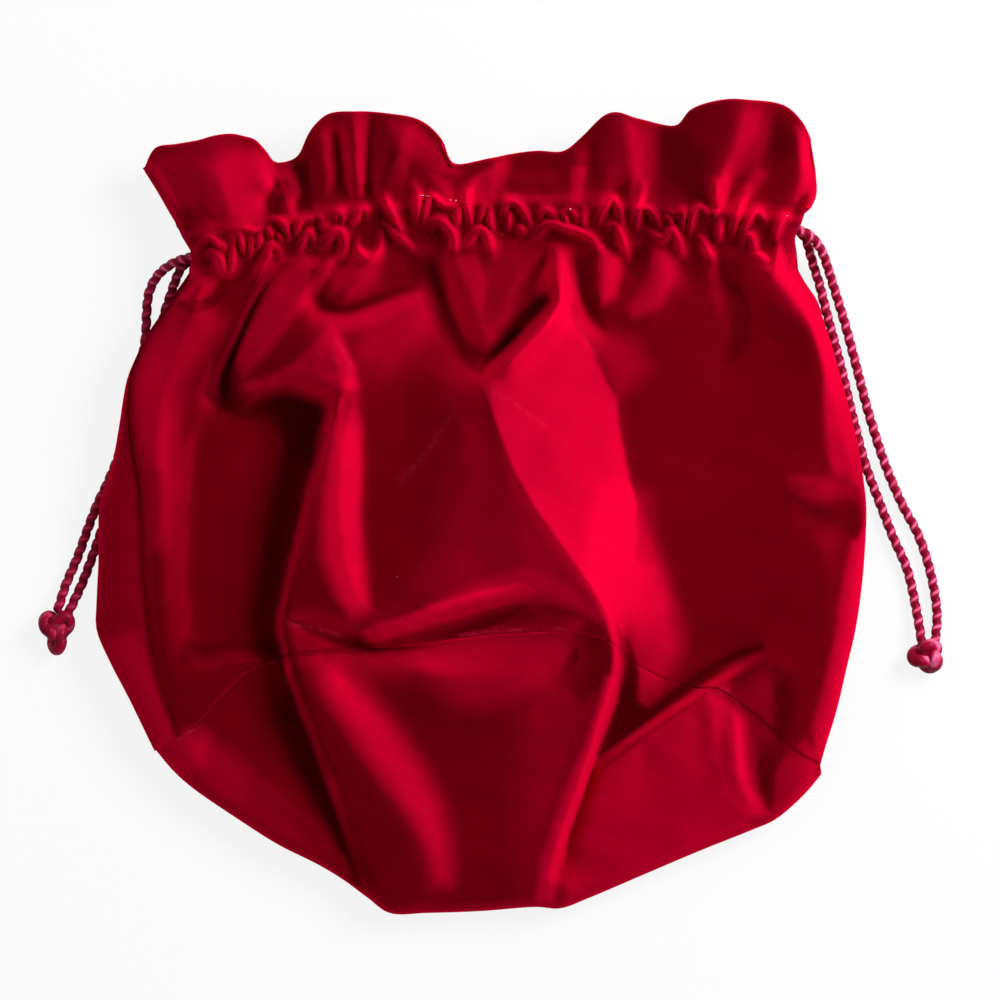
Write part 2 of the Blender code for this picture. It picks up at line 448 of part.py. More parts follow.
def back_grid(front_plan, front_outer):
    picks = [*range(neck_row), *(neck_row + row for row in shared_body_rows)]
    edges = along(outline_left, body_shares)
    outer, inner = [], []
    for order, row in enumerate(picks):
        seam, seam_z = front_plan[row, 0], front_outer[row, 0, 2]
        right, right_z = front_plan[row, -1], front_outer[row, -1, 2]
        in_casing = row in (upper_casing_row, lower_casing_row)
        in_body = row > neck_row
        thick = frill_cloth if row < upper_casing_row else cloth
        edge = edges[row - neck_row] if in_body else seam - (0.4, 0)
        edge_z = edge_height if in_body else 0.66 * seam_z
        width = 0.33 if row == len(front_plan) - 1 else 1.0 if row > neck_row + 3 else 0.8 if in_body else 0.6
        left_plan, left_z = left_wrap(seam, edge, width, seam_z, edge_z)
        right_plan, right_z = right_wrap(right, min(width, 0.85), right_z)
        left_turn = np.array([seam_angle(seam[1]), 0, 90, 130, 165, 180])
        left_turn[1] = (left_turn[0] + 90) / 2
        right_turn = np.array([180, 160, 120, 90])
        if in_casing:
            order_in_casing = 1 if row == upper_casing_row else 2
            ends = casing_ends[order_in_casing]
            left_plan = np.stack([ends[0] + np.array([0, 1.8, 4, 6.5, 9, 11.5]),
                                  np.full(6, seam[1])], axis=1)
            right_plan = np.stack([ends[1] - np.array([11.5, 7.5, 3.5, 0]), np.full(4, right[1])], axis=1)
            left_z = turn_z - end_arc(left_plan[:, 0], ends, gap_radius + cloth)[0]
            right_z = turn_z - end_arc(right_plan[:, 0], ends, gap_radius + cloth)[0]
            left_turn = np.array([140, 145, 152, 160, 170, 180])
            right_turn = np.array([180, 165, 150, 140])
        flat_shares = across[1:-1]
        start, end = left_plan[-1], right_plan[0]
        flat = start + (end - start) * flat_shares[:, None]
        if in_body:
            flat += under_bow(front_plan, flat_shares) * body_shares[row - neck_row] ** 1.5
        if row < upper_casing_row or in_casing or row == neck_row:
            offset = {upper_casing_row: casing_offsets[1], lower_casing_row: casing_offsets[2],
                      neck_row: casing_offsets[3], upper_casing_row - 1: casing_offsets[0]}.get(row)
            if offset is not None:
                flat[:, 1] = casing_y(flat[:, 0]) + offset / mm / long
            else:
                flat[:, 1] = np.interp(flat[:, 0], front_plan[row, :, 0], front_plan[row, :, 1]) - 1.0
        flat_z = np.zeros(len(flat))
        if in_casing:
            flat_z = under_gather_depth * is_valley[1:-1]
        elif row < upper_casing_row - 1:
            flat_z = under_gather_depth * (1 + np.sin(np.arange(len(flat)) * 0.9))
        flat_thick = np.full(len(flat), thick)
        row_outer = np.concatenate([placed(left_plan, left_z), placed(flat, flat_z), placed(right_plan, right_z)])
        turns_left = np.array([inward(turn, -1) for turn in left_turn]) * thick
        turns_right = np.array([inward(turn, 1) for turn in right_turn]) * thick
        row_inner = row_outer.copy()
        row_inner[:6] += turns_left
        row_inner[6:-4, 2] += flat_thick
        row_inner[-4:] += turns_right
        if in_casing:
            row_inner[7:-5, 2] = back_casing_top
        outer.append(row_outer)
        inner.append(row_inner)
    return np.array(outer), np.array(inner)


def base_grid(front_outer, front_inner, back_outer, back_inner):
    seam, fold = along(base_seam, across), along(base_fold, across)
    rows = len(base_shares) + 4
    outer, inner = np.zeros((rows, columns + 1, 3)), np.zeros((rows, columns + 1, 3))
    under = back_outer[-1, 5:-3]
    under_plan = np.stack([under[:, 0] / mm / wide, under[:, 1] / mm / long], axis=1)
    back_way = under_plan - fold
    depth = np.linalg.norm(back_way, axis=1)
    back_way /= depth[:, None]
    level = np.stack([back_way[:, 0], back_way[:, 1], np.zeros(columns + 1)], axis=1)
    up = np.array((0, 0, 1.0))
    fold_row = len(base_shares) - 1
    tilted_row = fold_row - 1
    for row, share in enumerate(base_shares):
        plan = seam + (fold - seam) * share
        outer[row] = placed(plan, front_z(plan))
        tilt = np.interp(share, (0.66, 0.85, 1.0), (0, 0.7, 1.0))
        way = tilt * level - (1 - tilt) * up
        inner[row] = outer[row] + cloth * way / np.linalg.norm(way, axis=1, keepdims=True)
        if row < tilted_row:
            inner[row] = outer[row]
    outer[fold_row, :, 2] = base_edge_height
    inner[fold_row, :, 2] = base_edge_height
    inner[:tilted_row, :, 2] -= (cloth * steepness(outer[:fold_row + 1]))[:tilted_row]
    for step, (reach, most, height, tilt) in enumerate(
            ((1.5, 0.15, 0.45, 0.6), (6.0, 0.45, 0.08, 0.15), (14.0, 0.72, 0.0, 0.0), (0.0, 1.0, 0.0, 0.0))):
        row = fold_row + 1 + step
        go = depth if step == 3 else np.minimum(reach, most * depth)
        outer[row] = placed(fold + back_way * go[:, None], np.full(columns + 1, height * base_edge_height))
        way = tilt * level + (1 - tilt) * up
        inner[row] = outer[row] + cloth * way / np.linalg.norm(way, axis=1, keepdims=True)
    # the edges take the very points of the panels that they are sewn to
    for target, front, back in ((outer, front_outer, back_outer[-1]), (inner, front_inner, back_inner[-1])):
        target[0] = front[-1]
        target[-1] = back[5:-3]
        for row in range(tilted_row + 1):
            target[row, 0] = back[0] + (back[1] - back[0]) * row / tilted_row
        for step in range(3):
            target[fold_row + step, 0] = back[2 + step]
        target[fold_row + 3, 0] = (back[4] + back[5]) / 2
        for row in range(fold_row + 1):
            target[row, -1] = back[-1] + (back[-2] - back[-1]) * row / fold_row
        target[fold_row + 1, -1] = (back[-2] + back[-3]) / 2
        target[fold_row + 2, -1] = back[-3]
        target[fold_row + 3, -1] = (back[-3] + back[-4]) / 2
    return outer, inner


def material(name, colour, roughness):
    made = bpy.data.materials.new(name)
    made.use_nodes = True
    shader = made.node_tree.nodes["Principled BSDF"]
    shader.inputs["Base Color"].default_value = (*colour, 1)
    shader.inputs["Roughness"].default_value = roughness
    return made


velvet = material("velvet", (0.19, 0.001, 0.005), 0.9)
satin = material("satin cord", (0.45, 0.01, 0.05), 0.45)


def add_object(name, points, faces, finish):
    mesh = bpy.data.meshes.new(name)
    mesh.from_pydata([tuple(point) for point in points], [], faces)
    mesh.materials.append(finish)
    thing = bpy.data.objects.new(name, mesh)
    bpy.context.collection.objects.link(thing)
    return thing


def sheet_object(name, outer, inner, finish):
    # closed sheet of cloth between an outside and an inside grid, split the same way on both sides
    rows, count = outer.shape[:2]
    size = rows * count
    faces = []

    def index(row, column, side):
        return row * count + column + side * size

    for row in range(rows - 1):
        for column in range(count - 1):
            corners = [(row, column), (row + 1, column), (row + 1, column + 1), (row, column + 1)]
            points = [outer[corner] for corner in corners]
            if np.linalg.norm(points[0] - points[2]) <= np.linalg.norm(points[1] - points[3]):
                split = ((0, 1, 2), (0, 2, 3))
            else:
                split = ((0, 1, 3), (1, 2, 3))
            for triangle in split:
                faces.append([index(*corners[k], 0) for k in triangle])
                faces.append([index(*corners[k], 1) for k in reversed(triangle)])
    rim = [(0, c) for c in range(count)] + [(r, count - 1) for r in range(1, rows)]
    rim += [(rows - 1, c) for c in range(count - 2, -1, -1)] + [(r, 0) for r in range(rows - 2, 0, -1)]
    for start, end in zip(rim, rim[1:] + rim[:1]):
        faces.append([index(*start, 0), index(*end, 0), index(*end, 1)])
        faces.append([index(*start, 0), index(*end, 1), index(*start, 1)])
    return add_object(name, np.concatenate([outer.reshape(-1, 3), inner.reshape(-1, 3)]), faces, finish)


def channel_cutter(name, height):
    # flat round-sided bar along the casing line, which leaves the way for the two cords
    first, last = casing_ends[2][0] + turn_inset - 2, casing_ends[2][1] - turn_inset + 2
    x = np.linspace(first, last, 22)
    half = np.array((channel_width / 2, channel_height / 2))
    corners = ((0.72, -1), (1, -0.5), (1, 0.5), (0.72, 1), (-0.72, 1), (-1, 0.5), (-1, -0.5), (-0.72, -1))
    section = half * corners
    points, faces = [], []
    for station in x:
        for y, z in section:
            points.append((station * mm * wide, casing_y(station) * mm * long + y, height + z))
    sides = len(section)
    for step in range(len(x) - 1):
        for k in range(sides):
            near, far = step * sides + k, step * sides + (k + 1) % sides
            faces.append([near, far, far + sides, near + sides])
    faces.append([k for k in reversed(range(sides))])
    faces.append([(len(x) - 1) * sides + k for k in range(sides)])
    cutter = add_object(name, points, faces, velvet)
    cutter.hide_render = True
    cutter.display_type = "WIRE"
    return cutter


def cut(thing, cutter):
    boolean = thing.modifiers.new("channel", "BOOLEAN")
    boolean.operation = "DIFFERENCE"
    boolean.solver = "EXACT"
    boolean.object = cutter


def shifted(grid, rows, cols, by):
    # moves the edge of a panel by half the seam's gap, so that sewn edges don't touch
    grid[rows, cols] += np.array(by)
    return grid


front_plan, front_outer, front_inner = front_grid()
back_outer, back_inner = back_grid(front_plan, front_outer)
base_outer, base_inner = base_grid(front_outer, front_inner, back_outer, back_inner)
half_gap = seam_gap / 2
for grid in (front_outer, front_inner):
    shifted(grid, -1, slice(None), (0, half_gap, 0))
    for row in range(len(grid)):
        turn = math.radians(seam_angle(front_plan[row, 0, 1]))
        if row not in (upper_casing_row, lower_casing_row):
            shifted(grid, row, 0, (half_gap * math.cos(turn), 0, half_gap * math.sin(turn)))
            shifted(grid, row, -1, (0, 0, half_gap))
for grid in (back_outer, back_inner):
    shifted(grid, -1, slice(None), (0, half_gap, 0))
    picks = [*range(neck_row), *(neck_row + row for row in shared_body_rows)]
    for order, row in enumerate(picks):
        turn = math.radians(seam_angle(front_plan[row, 0, 1]))
        if row not in (upper_casing_row, lower_casing_row):
            shifted(grid, order, 0, (-half_gap * math.cos(turn), 0, -half_gap * math.sin(turn)))
            shifted(grid, order, -1, (0, 0, -half_gap))
for grid in (base_outer, base_inner):
    shifted(grid, 0, slice(None), (0, -half_gap, 0))
    shifted(grid, -1, slice(None), (0, -half_gap, 0))
    shifted(grid, slice(1, -1), 0, (0, -half_gap, 0))
    shifted(grid, slice(1, -1), -1, (0, -half_gap, 0))

front_panel = sheet_object("front_panel", front_outer, front_inner, velvet)
back_panel = sheet_object("back_panel", back_outer, back_inner, velvet)
base_panel = sheet_object("base_panel", base_outer, base_inner, velvet)
cut(front_panel, channel_cutter("front_channel", front_channel_z))
cut(back_panel, channel_cutter("back_channel", back_channel_z))

# Cords: each goes round the whole neck, through the front casing, and back through the back one

on_table = cord_diameter / 2 + 0.0001
in_front, in_back = front_channel_z, back_channel_z
left_start = [(-156.6, -36.0, 0.0046), (-153.6, -28.5, 0.0027), (-149.2, -18, on_table), (-145.6, -8, on_table),
              (-142.1, 1, on_table), (-138.3, 9, on_table), (-134.6, 18, on_table), (-131.3, 30, on_table),
              (-129.3, 42, on_table), (-125.8, 54, on_table), (-124.1, 64, on_table), (-123.8, 72, on_table),
              (-123.0, 79, 0.0026), (-120.4, 84.6, 0.0052), (-116.4, 88.4, 0.0094), (-111.8, 90.8, 0.0132),
              (-106.5, 92.2, 0.0168), (-101.0, 92.9, 0.0202)]
left_end = [(-101.5, 92.8, 0.0068), (-106.5, 91.8, 0.0098), (-110.6, 88.6, 0.0082), (-113.0, 84, 0.0046),
            (-114.8, 79, 0.0024), (-117.4, 71, on_table), (-119.2, 62.5, on_table), (-121.0, 53, on_table),
            (-124.6, 42, on_table), (-126.6, 30, on_table), (-129.8, 18, on_table), (-133.6, 8, on_table),
            (-137.0, 0, on_table), (-140.6, -9, on_table), (-143.8, -18, on_table), (-147.6, -28, 0.0025),
            (-152.4, -37.6, 0.0046)]
right_start = [(167.3, -48.3, 0.0047), (168.4, -39, 0.0026), (166.0, -24, on_table), (161.4, -10, on_table),
               (155.6, 1, on_table), (149.6, 15, on_table), (143.4, 34, on_table), (138.4, 53, on_table),
               (134.4, 68, on_table), (131.0, 79, 0.0026), (128.2, 87.5, 0.0058), (125.4, 94.6, 0.0106),
               (121.4, 99.8, 0.0146), (116.5, 102.2, 0.0174), (110.5, 102.9, 0.0201)]
right_end = [(110.5, 103.3, 0.0062), (115.5, 103.0, 0.0088), (119.4, 99.4, 0.0086), (121.4, 93.6, 0.0062),
             (123.0, 88.4, 0.0036), (124.8, 83, 0.0023), (127.6, 72, on_table), (132.4, 54, on_table), (137.4, 33, on_table),
             (141.9, 16, on_table), (147.5, 1, on_table), (152.2, -11, on_table), (157.4, -23, on_table),
             (160.6, -37, 0.0026), (162.4, -48.1, 0.0047)]
casing_stops = [-96.5, -84, -70, -56, -42, -28, -14, 0, 14, 28, 42, 56, 70, 84, 96, 103]
turn_steps = 5


def in_lane(stops, height, side):
    return [(x, casing_y(x) + side * lane / mm / long, height) for x in stops]


def turn_round(at_right, side):
    # half circle from the front casing to the back one, in the open end of the casing
    middle = casing_ends[2][1] - turn_inset if at_right else casing_ends[2][0] + turn_inset
    y = casing_y(middle) + side * lane / mm / long
    out = 1 if at_right else -1
    points = []
    for angle in np.linspace(0, math.pi, turn_steps):
        x = middle + out * turn_radius * math.sin(angle) / mm / wide
        points.append((x, y, turn_z + turn_radius * math.cos(angle)))
    return points


left_route = left_start + in_lane(casing_stops, in_front, -1) + turn_round(True, -1)
left_route += in_lane(casing_stops[::-1], in_back, -1) + left_end
right_route = right_start + in_lane(casing_stops[::-1], in_front, 1) + turn_round(False, 1)
right_route += in_lane(casing_stops, in_back, 1) + right_end


def smooth_way(route, steps=12):
    # even curve through the route's points
    points = np.array([(x * mm * wide, y * mm * long, z) for x, y, z in route])
    padded = np.concatenate([[2 * points[0] - points[1]], points, [2 * points[-1] - points[-2]]])
    way = []
    for k in range(1, len(padded) - 2):
        a, b, c, d = padded[k - 1:k + 3]
        knots = np.cumsum([0, *(np.linalg.norm(q - p) ** 0.5 for p, q in ((a, b), (b, c), (c, d)))])
        for t in np.linspace(knots[1], knots[2], steps, endpoint=False):
            ab = (a * (knots[1] - t) + b * (t - knots[0])) / (knots[1] - knots[0])
            bc = (b * (knots[2] - t) + c * (t - knots[1])) / (knots[2] - knots[1])
            cd = (c * (knots[3] - t) + d * (t - knots[2])) / (knots[3] - knots[2])
            abc = (ab * (knots[2] - t) + bc * (t - knots[0])) / (knots[2] - knots[0])
            bcd = (bc * (knots[3] - t) + cd * (t - knots[1])) / (knots[3] - knots[1])
            way.append((abc * (knots[2] - t) + bcd * (t - knots[1])) / (knots[2] - knots[1]))
    return way + [points[-1]]


def tube_points(way, spacing=0.0125, turn=0.45):
    # the few points that a plain tube needs: further apart where the way is straight
    kept, run, bend = [way[0]], 0.0, 0.0
    for before, here, after in zip(way, way[1:], way[2:]):
        first, second = here - before, after - here
        run += np.linalg.norm(first)
        cosine = np.dot(first, second) / (np.linalg.norm(first) * np.linalg.norm(second))
        bend += math.acos(min(1.0, max(-1.0, cosine)))
        if run >= spacing or bend >= turn:
            kept.append(here)
            run, bend = 0.0, 0.0
    if np.linalg.norm(way[-1] - kept[-1]) < cord_diameter:
        kept.pop()
    return kept + [way[-1]]


def cord_tube(name, route):
    points = tube_points(smooth_way(route))
    curve = bpy.data.curves.new(name, "CURVE")
    curve.dimensions = "3D"
    curve.bevel_depth = cord_diameter / 2
    curve.bevel_resolution = 2
    curve.use_fill_caps = True
    spline = curve.splines.new("POLY")
    spline.points.add(len(points) - 1)
    for spot, point in zip(spline.points, points):
        spot.co = (*point, 1)
    curve.materials.append(satin)
    thing = bpy.data.objects.new(name, curve)
    bpy.context.collection.objects.link(thing)
    return points


def knot(name, x, y, half_width, half_length, height):
    # tied end of a cord: a small bun with the groove of its windings
    rings, sides = 9, 18
    middle = np.array((x * mm * wide, y * mm * long, height / 2 + 0.0002))
    size = np.array((half_width, half_length, height / 2))
    points = [middle + size * (0, 0, 1)]
    for ring in range(1, rings):
        down = math.pi * ring / rings
        for side in range(sides):
            turn = 2 * math.pi * side / sides
            swell = 1 - 0.09 * math.sin(down) * (1 - math.cos(3 * turn + 2.2 * down)) / 2
            way = np.array((math.sin(down) * math.cos(turn), math.sin(down) * math.sin(turn), math.cos(down)))
            points.append(middle + size * way * swell)
    points.append(middle - size * (0, 0, 1))
    faces = [[0, 1 + side, 1 + (side + 1) % sides] for side in range(sides)]
    for ring in range(rings - 2):
        for side in range(sides):
            a, b = 1 + ring * sides + side, 1 + ring * sides + (side + 1) % sides
            faces.append([a, a + sides, b + sides])
            faces.append([a, b + sides, b])
    last, bottom = 1 + (rings - 2) * sides, 1 + (rings - 1) * sides
    faces += [[last + side, bottom, last + (side + 1) % sides] for side in range(sides)]
    return add_object(name, points, faces, satin)


for name, route in (("cord_left", left_route), ("cord_right", right_route)):
    used = cord_tube(name, route)
    print(name, "points", len(used), "length", round(sum(np.linalg.norm(b - a) for a, b in zip(used, used[1:])), 4))
knot("knot_left", -157.4, -45.0, 0.0056, 0.0088, knot_height)
knot("knot_right", 164.2, -54.6, 0.0070, 0.0064, knot_height)
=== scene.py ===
import math
import bpy
import numpy as np
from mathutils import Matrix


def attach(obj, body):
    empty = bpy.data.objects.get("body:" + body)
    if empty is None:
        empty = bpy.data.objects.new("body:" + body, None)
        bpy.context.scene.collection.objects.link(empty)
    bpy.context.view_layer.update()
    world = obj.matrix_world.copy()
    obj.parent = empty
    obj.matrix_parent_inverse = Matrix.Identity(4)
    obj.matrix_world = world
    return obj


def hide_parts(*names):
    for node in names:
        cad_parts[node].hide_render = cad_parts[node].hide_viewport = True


# Red velvet drawstring bag that lies empty on its back. Plan lines are in mm, everything else in metres.
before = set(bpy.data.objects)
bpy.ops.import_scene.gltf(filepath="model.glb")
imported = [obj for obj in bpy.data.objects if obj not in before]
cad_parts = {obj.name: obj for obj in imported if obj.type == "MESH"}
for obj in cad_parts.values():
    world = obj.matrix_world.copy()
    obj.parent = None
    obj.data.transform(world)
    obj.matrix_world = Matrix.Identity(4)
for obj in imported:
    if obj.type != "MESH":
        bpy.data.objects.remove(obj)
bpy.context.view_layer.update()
mm = 0.001
view = {"centre": (6.85, 2.78), "height": 3000.0, "across": 370.0}    # mm; the plan is as seen from there
print("frame loaded")


# Lines and fields

def placed(name, data):
    # puts a mesh, a light or a camera into the scene
    thing = bpy.data.objects.new(name, data)
    bpy.context.collection.objects.link(thing)
    return thing


def eased(share):
    # 0 to 1, with a soft start and a soft end
    return share * share * (3 - 2 * share)


def evened(values, reach):
    # mean over neighbours along a line of points
    padded = np.pad(values, ((reach, reach), (0, 0)), mode="edge")
    return sum(padded[k:k + len(values)] for k in range(2 * reach + 1)) / (2 * reach + 1)


def smoothLine(points, steps=8):
    # soft curve through a line's points
    points = np.array(points, float)
    padded = np.concatenate([[2 * points[0] - points[1]], points, [2 * points[-1] - points[-2]]])
    way = []
    for k in range(1, len(padded) - 2):
        a, b, c, d = padded[k - 1:k + 3]
        knots = np.cumsum([0, *(np.linalg.norm(q - p) ** 0.5 for p, q in ((a, b), (b, c), (c, d)))])
        for t in np.linspace(knots[1], knots[2], steps, endpoint=False):
            ab = (a * (knots[1] - t) + b * (t - knots[0])) / (knots[1] - knots[0])
            bc = (b * (knots[2] - t) + c * (t - knots[1])) / (knots[2] - knots[1])
            cd = (c * (knots[3] - t) + d * (t - knots[2])) / (knots[3] - knots[2])
            abc = (ab * (knots[2] - t) + bc * (t - knots[0])) / (knots[2] - knots[0])
            bcd = (bc * (knots[3] - t) + cd * (t - knots[1])) / (knots[3] - knots[1])
            way.append((abc * (knots[2] - t) + bcd * (t - knots[1])) / (knots[2] - knots[1]))
    return np.array(way + [points[-1]])


def along(points, shares):
    # points at the given shares of a line's length
    points = np.array(points, float)
    steps = np.linalg.norm(np.diff(points, axis=0), axis=1)
    run = np.concatenate(([0.0], np.cumsum(steps))) / steps.sum()
    return np.stack([np.interp(shares, run, column) for column in points.T], axis=1)


def patch(top, bottom, left, right, across, down, above=None):
    # plan points between four edge lines: rows run down, columns run across
    t, b = along(top, across if above is None else above), along(bottom, across)
    l, r = along(left, down), along(right, down)
    u, v = across[None, :, None], down[:, None, None]
    rows = (1 - v) * t[None] + v * b[None] + (1 - u) * l[:, None] + u * r[:, None]
    return rows - (1 - v) * ((1 - u) * t[0] + u * t[-1]) - v * ((1 - u) * b[0] + u * b[-1])


def offPiece(spots, start, end):
    # how far plan points lie from a straight piece of a line, and at which share of it
    way = end - start
    share = np.clip(((spots - start) @ way) / (way @ way), 0, 1)
    return np.linalg.norm(spots - start - share[:, None] * way, axis=1), share


def inBoxOf(x, y, points, reach):
    # marks the plan points in the box round a line, widened by a reach
    return ((x > points[:, 0].min() - reach) & (x < points[:, 0].max() + reach)
            & (y > points[:, 1].min() - reach) & (y < points[:, 1].max() + reach))


def distanceTo(plan, line):
    # distance in mm from plan points to a line
    flat = plan.reshape(-1, 2)
    best = np.full(len(flat), 1e9)
    for start, end in zip(line[:-1], line[1:]):
        best = np.minimum(best, offPiece(flat, start, end)[0])
    return best.reshape(plan.shape[:-1])


def nearLine(plan, line, reach):
    # 1 on a line, and next to nothing at twice the reach from it
    return np.exp(-(distanceTo(plan, line) / reach) ** 2)


field = {"low": (-156.0, -164.0), "high": (156.0, 164.0),   # mm, the plan that the cloth's field covers
         "steps": (8.0, 4.0, 2.0, 1.0),                     # mm between its points, from rough to fine
         "firstRounds": 500, "firstPull": 0.24,             # the rough start, like a stretched skin
         "stretch": 0.03, "bend": 0.022, "rounds": 300,     # how stiffly it curves at each step
         "soften": 3, "softly": 0.2}
lean = {"step": 2.0, "reach": 6.0, "rounds": 160}


def curvature(grid):
    near = np.pad(grid, 1, mode="edge")
    return near[:-2, 1:-1] + near[2:, 1:-1] + near[1:-1, :-2] + near[1:-1, 2:] - 4 * grid


def sample(grid, step, x, y):
    # value at plan points, between the grid's own points
    column = np.clip((x - field["low"][0]) / step, 0, grid.shape[1] - 1.001)
    row = np.clip((y - field["low"][1]) / step, 0, grid.shape[0] - 1.001)
    c, r = column.astype(int), row.astype(int)
    u, v = column - c, row - r
    low = grid[r, c] * (1 - u) + grid[r, c + 1] * u
    high = grid[r + 1, c] * (1 - u) + grid[r + 1, c + 1] * u
    return low * (1 - v) + high * v


def heldPoints(lines, step):
    # marks the grid points that lines of x, y and value pass
    columns = int((field["high"][0] - field["low"][0]) / step) + 1
    rows = int((field["high"][1] - field["low"][1]) / step) + 1
    total, count = np.zeros((rows, columns)), np.zeros((rows, columns))
    for line in lines:
        for start, end in zip(line[:-1], line[1:]):
            length = np.hypot(end[0] - start[0], end[1] - start[1])
            share = np.linspace(0, 1, int(2 * length / step) + 2)[:, None]
            spots = np.array(start)[None] + share * (np.array(end) - np.array(start))[None]
            column = np.round((spots[:, 0] - field["low"][0]) / step).astype(int)
            row = np.round((spots[:, 1] - field["low"][1]) / step).astype(int)
            np.add.at(total, (row, column), spots[:, 2])
            np.add.at(count, (row, column), 1)
    held = count > 0
    total[held] /= count[held]
    return total, held


def relaxedHeights(lines):
    # the cloth takes an even curve between its fold lines
    heights, lastStep = None, None
    for step in field["steps"]:
        target, held = heldPoints(lines, step)
        rows, columns = target.shape
        if heights is None:
            heights = np.full(target.shape, target[held].mean())
            for _ in range(field["firstRounds"]):
                heights += field["firstPull"] * curvature(heights)
                heights[held] = target[held]
        else:
            x = field["low"][0] + step * np.arange(columns)[None, :] + np.zeros((rows, 1))
            y = field["low"][1] + step * np.arange(rows)[:, None] + np.zeros((1, columns))
            heights = sample(heights, lastStep, x, y)
        for _ in range(field["rounds"]):
            heights[held] = target[held]
            bend = curvature(heights)
            heights = heights + field["stretch"] * bend - field["bend"] * curvature(bend)
        lastStep = step
    for _ in range(field["soften"]):
        heights = heights + field["softly"] * curvature(heights)
    return heights


def relaxedShift(lines):
    # how far the cloth leans sideways, which dies away within a reach of the lines
    target, held = heldPoints(lines, lean["step"])
    shift, pull = np.where(held, target, 0.0), field["softly"]
    for _ in range(lean["rounds"]):
        shift = shift + pull * curvature(shift) - pull * (lean["step"] / lean["reach"]) ** 2 * shift
        shift[held] = target[held]
    for _ in range(field["soften"]):
        shift = shift + pull * curvature(shift)
    return shift


# Plan of the bag: x to the right and y to the mouth

plan = {
    "casing": [(-130, 92.5), (-112, 94.0), (-97, 95.4), (-80, 97.5), (-62, 101.5), (-45, 103), (-20, 104.6),
               (0, 107), (20, 107), (40, 105.2), (60, 104), (85, 102), (100, 101.6), (113, 100),
               (130, 97.5)],
    "mouth": [(-124, 124), (-120, 131.7), (-113, 133), (-105, 134.5), (-98, 136.5), (-92, 137), (-88, 136.2),
              (-84, 135), (-80, 131), (-76, 126.5), (-68, 128), (-63, 137), (-60, 141), (-55, 144.5),
              (-38, 144.5), (-24, 142.5), (-16, 136), (-11, 126), (4, 128), (20, 130.3), (30, 130.3),
              (38, 136), (46, 144), (50, 145), (58, 142.5), (72, 139.8), (78, 146), (90, 149.7),
              (100, 149.3), (112, 147), (118, 141.5), (121.5, 135)],
    "frillLeft": [(-124, 124), (-119, 116), (-115, 109), (-112.6, 105)],
    "frillRight": [(121.5, 135), (123.3, 123), (123.5, 115), (121.5, 110.3)],
    "sideLeft": [(-108.8, 84), (-111.4, 80), (-114, 75.5), (-118.5, 69.5), (-122.5, 63.5), (-126, 57),
                 (-128.5, 50), (-129.5, 40), (-129.5, 30), (-127.5, 17), (-126, 8), (-125.5, 0), (-125, -20),
                 (-124, -33), (-122.5, -45), (-120.5, -58), (-117.5, -69), (-112, -84)],
    "sideRight": [(116.6, 88), (119.4, 83), (124, 76), (126.5, 68), (129.3, 60), (131.5, 52), (134.3, 42),
                  (136.7, 33), (139.2, 22), (141, 10), (142, 0), (141.5, -15), (140.2, -30), (138, -45),
                  (135, -58), (131, -75), (127, -88), (125, -95)],
    "outlineLeft": [(-109.2, 84), (-112.2, 80), (-115, 75), (-120.5, 68), (-125, 60.5), (-128, 54),
                    (-130.5, 48), (-132, 41), (-133.5, 31), (-136.5, 15), (-139.5, 6), (-141, 0),
                    (-141.3, -20), (-142, -35), (-142, -45), (-137, -57), (-130, -70.5), (-121.5, -88)],
    "baseSeam": [(-112, -84), (-105, -80), (-97, -71), (-88, -62), (-77, -56.5), (-65, -54), (-45, -52.5),
                 (-28, -51.5), (-10, -48.5), (10, -46.5), (30, -46), (42, -48.5), (55, -57), (68, -63.5),
                 (80, -67.5), (91, -71), (101, -77), (109, -84), (116, -90), (125, -95)],
    "baseFold": [(-121.5, -88), (-114, -97), (-107, -103.3), (-90, -115), (-75, -124.5), (-60, -132),
                 (-50, -138), (-42, -144), (-34, -149.7), (-20, -149.7), (0, -149), (20, -147.5), (29, -148),
                 (40, -144), (60, -135.5), (80, -127), (100, -119), (108, -115.5), (115, -110), (121, -104),
                 (125.5, -98.5)],
    "underSeam": [(-109, -85.5), (-99, -78), (-84, -68), (-60, -59), (-30, -54), (0, -52), (40, -54),
                  (70, -61), (92, -72), (106, -83), (115, -91)],
}
lines = {name: smoothLine(points) for name, points in plan.items()}

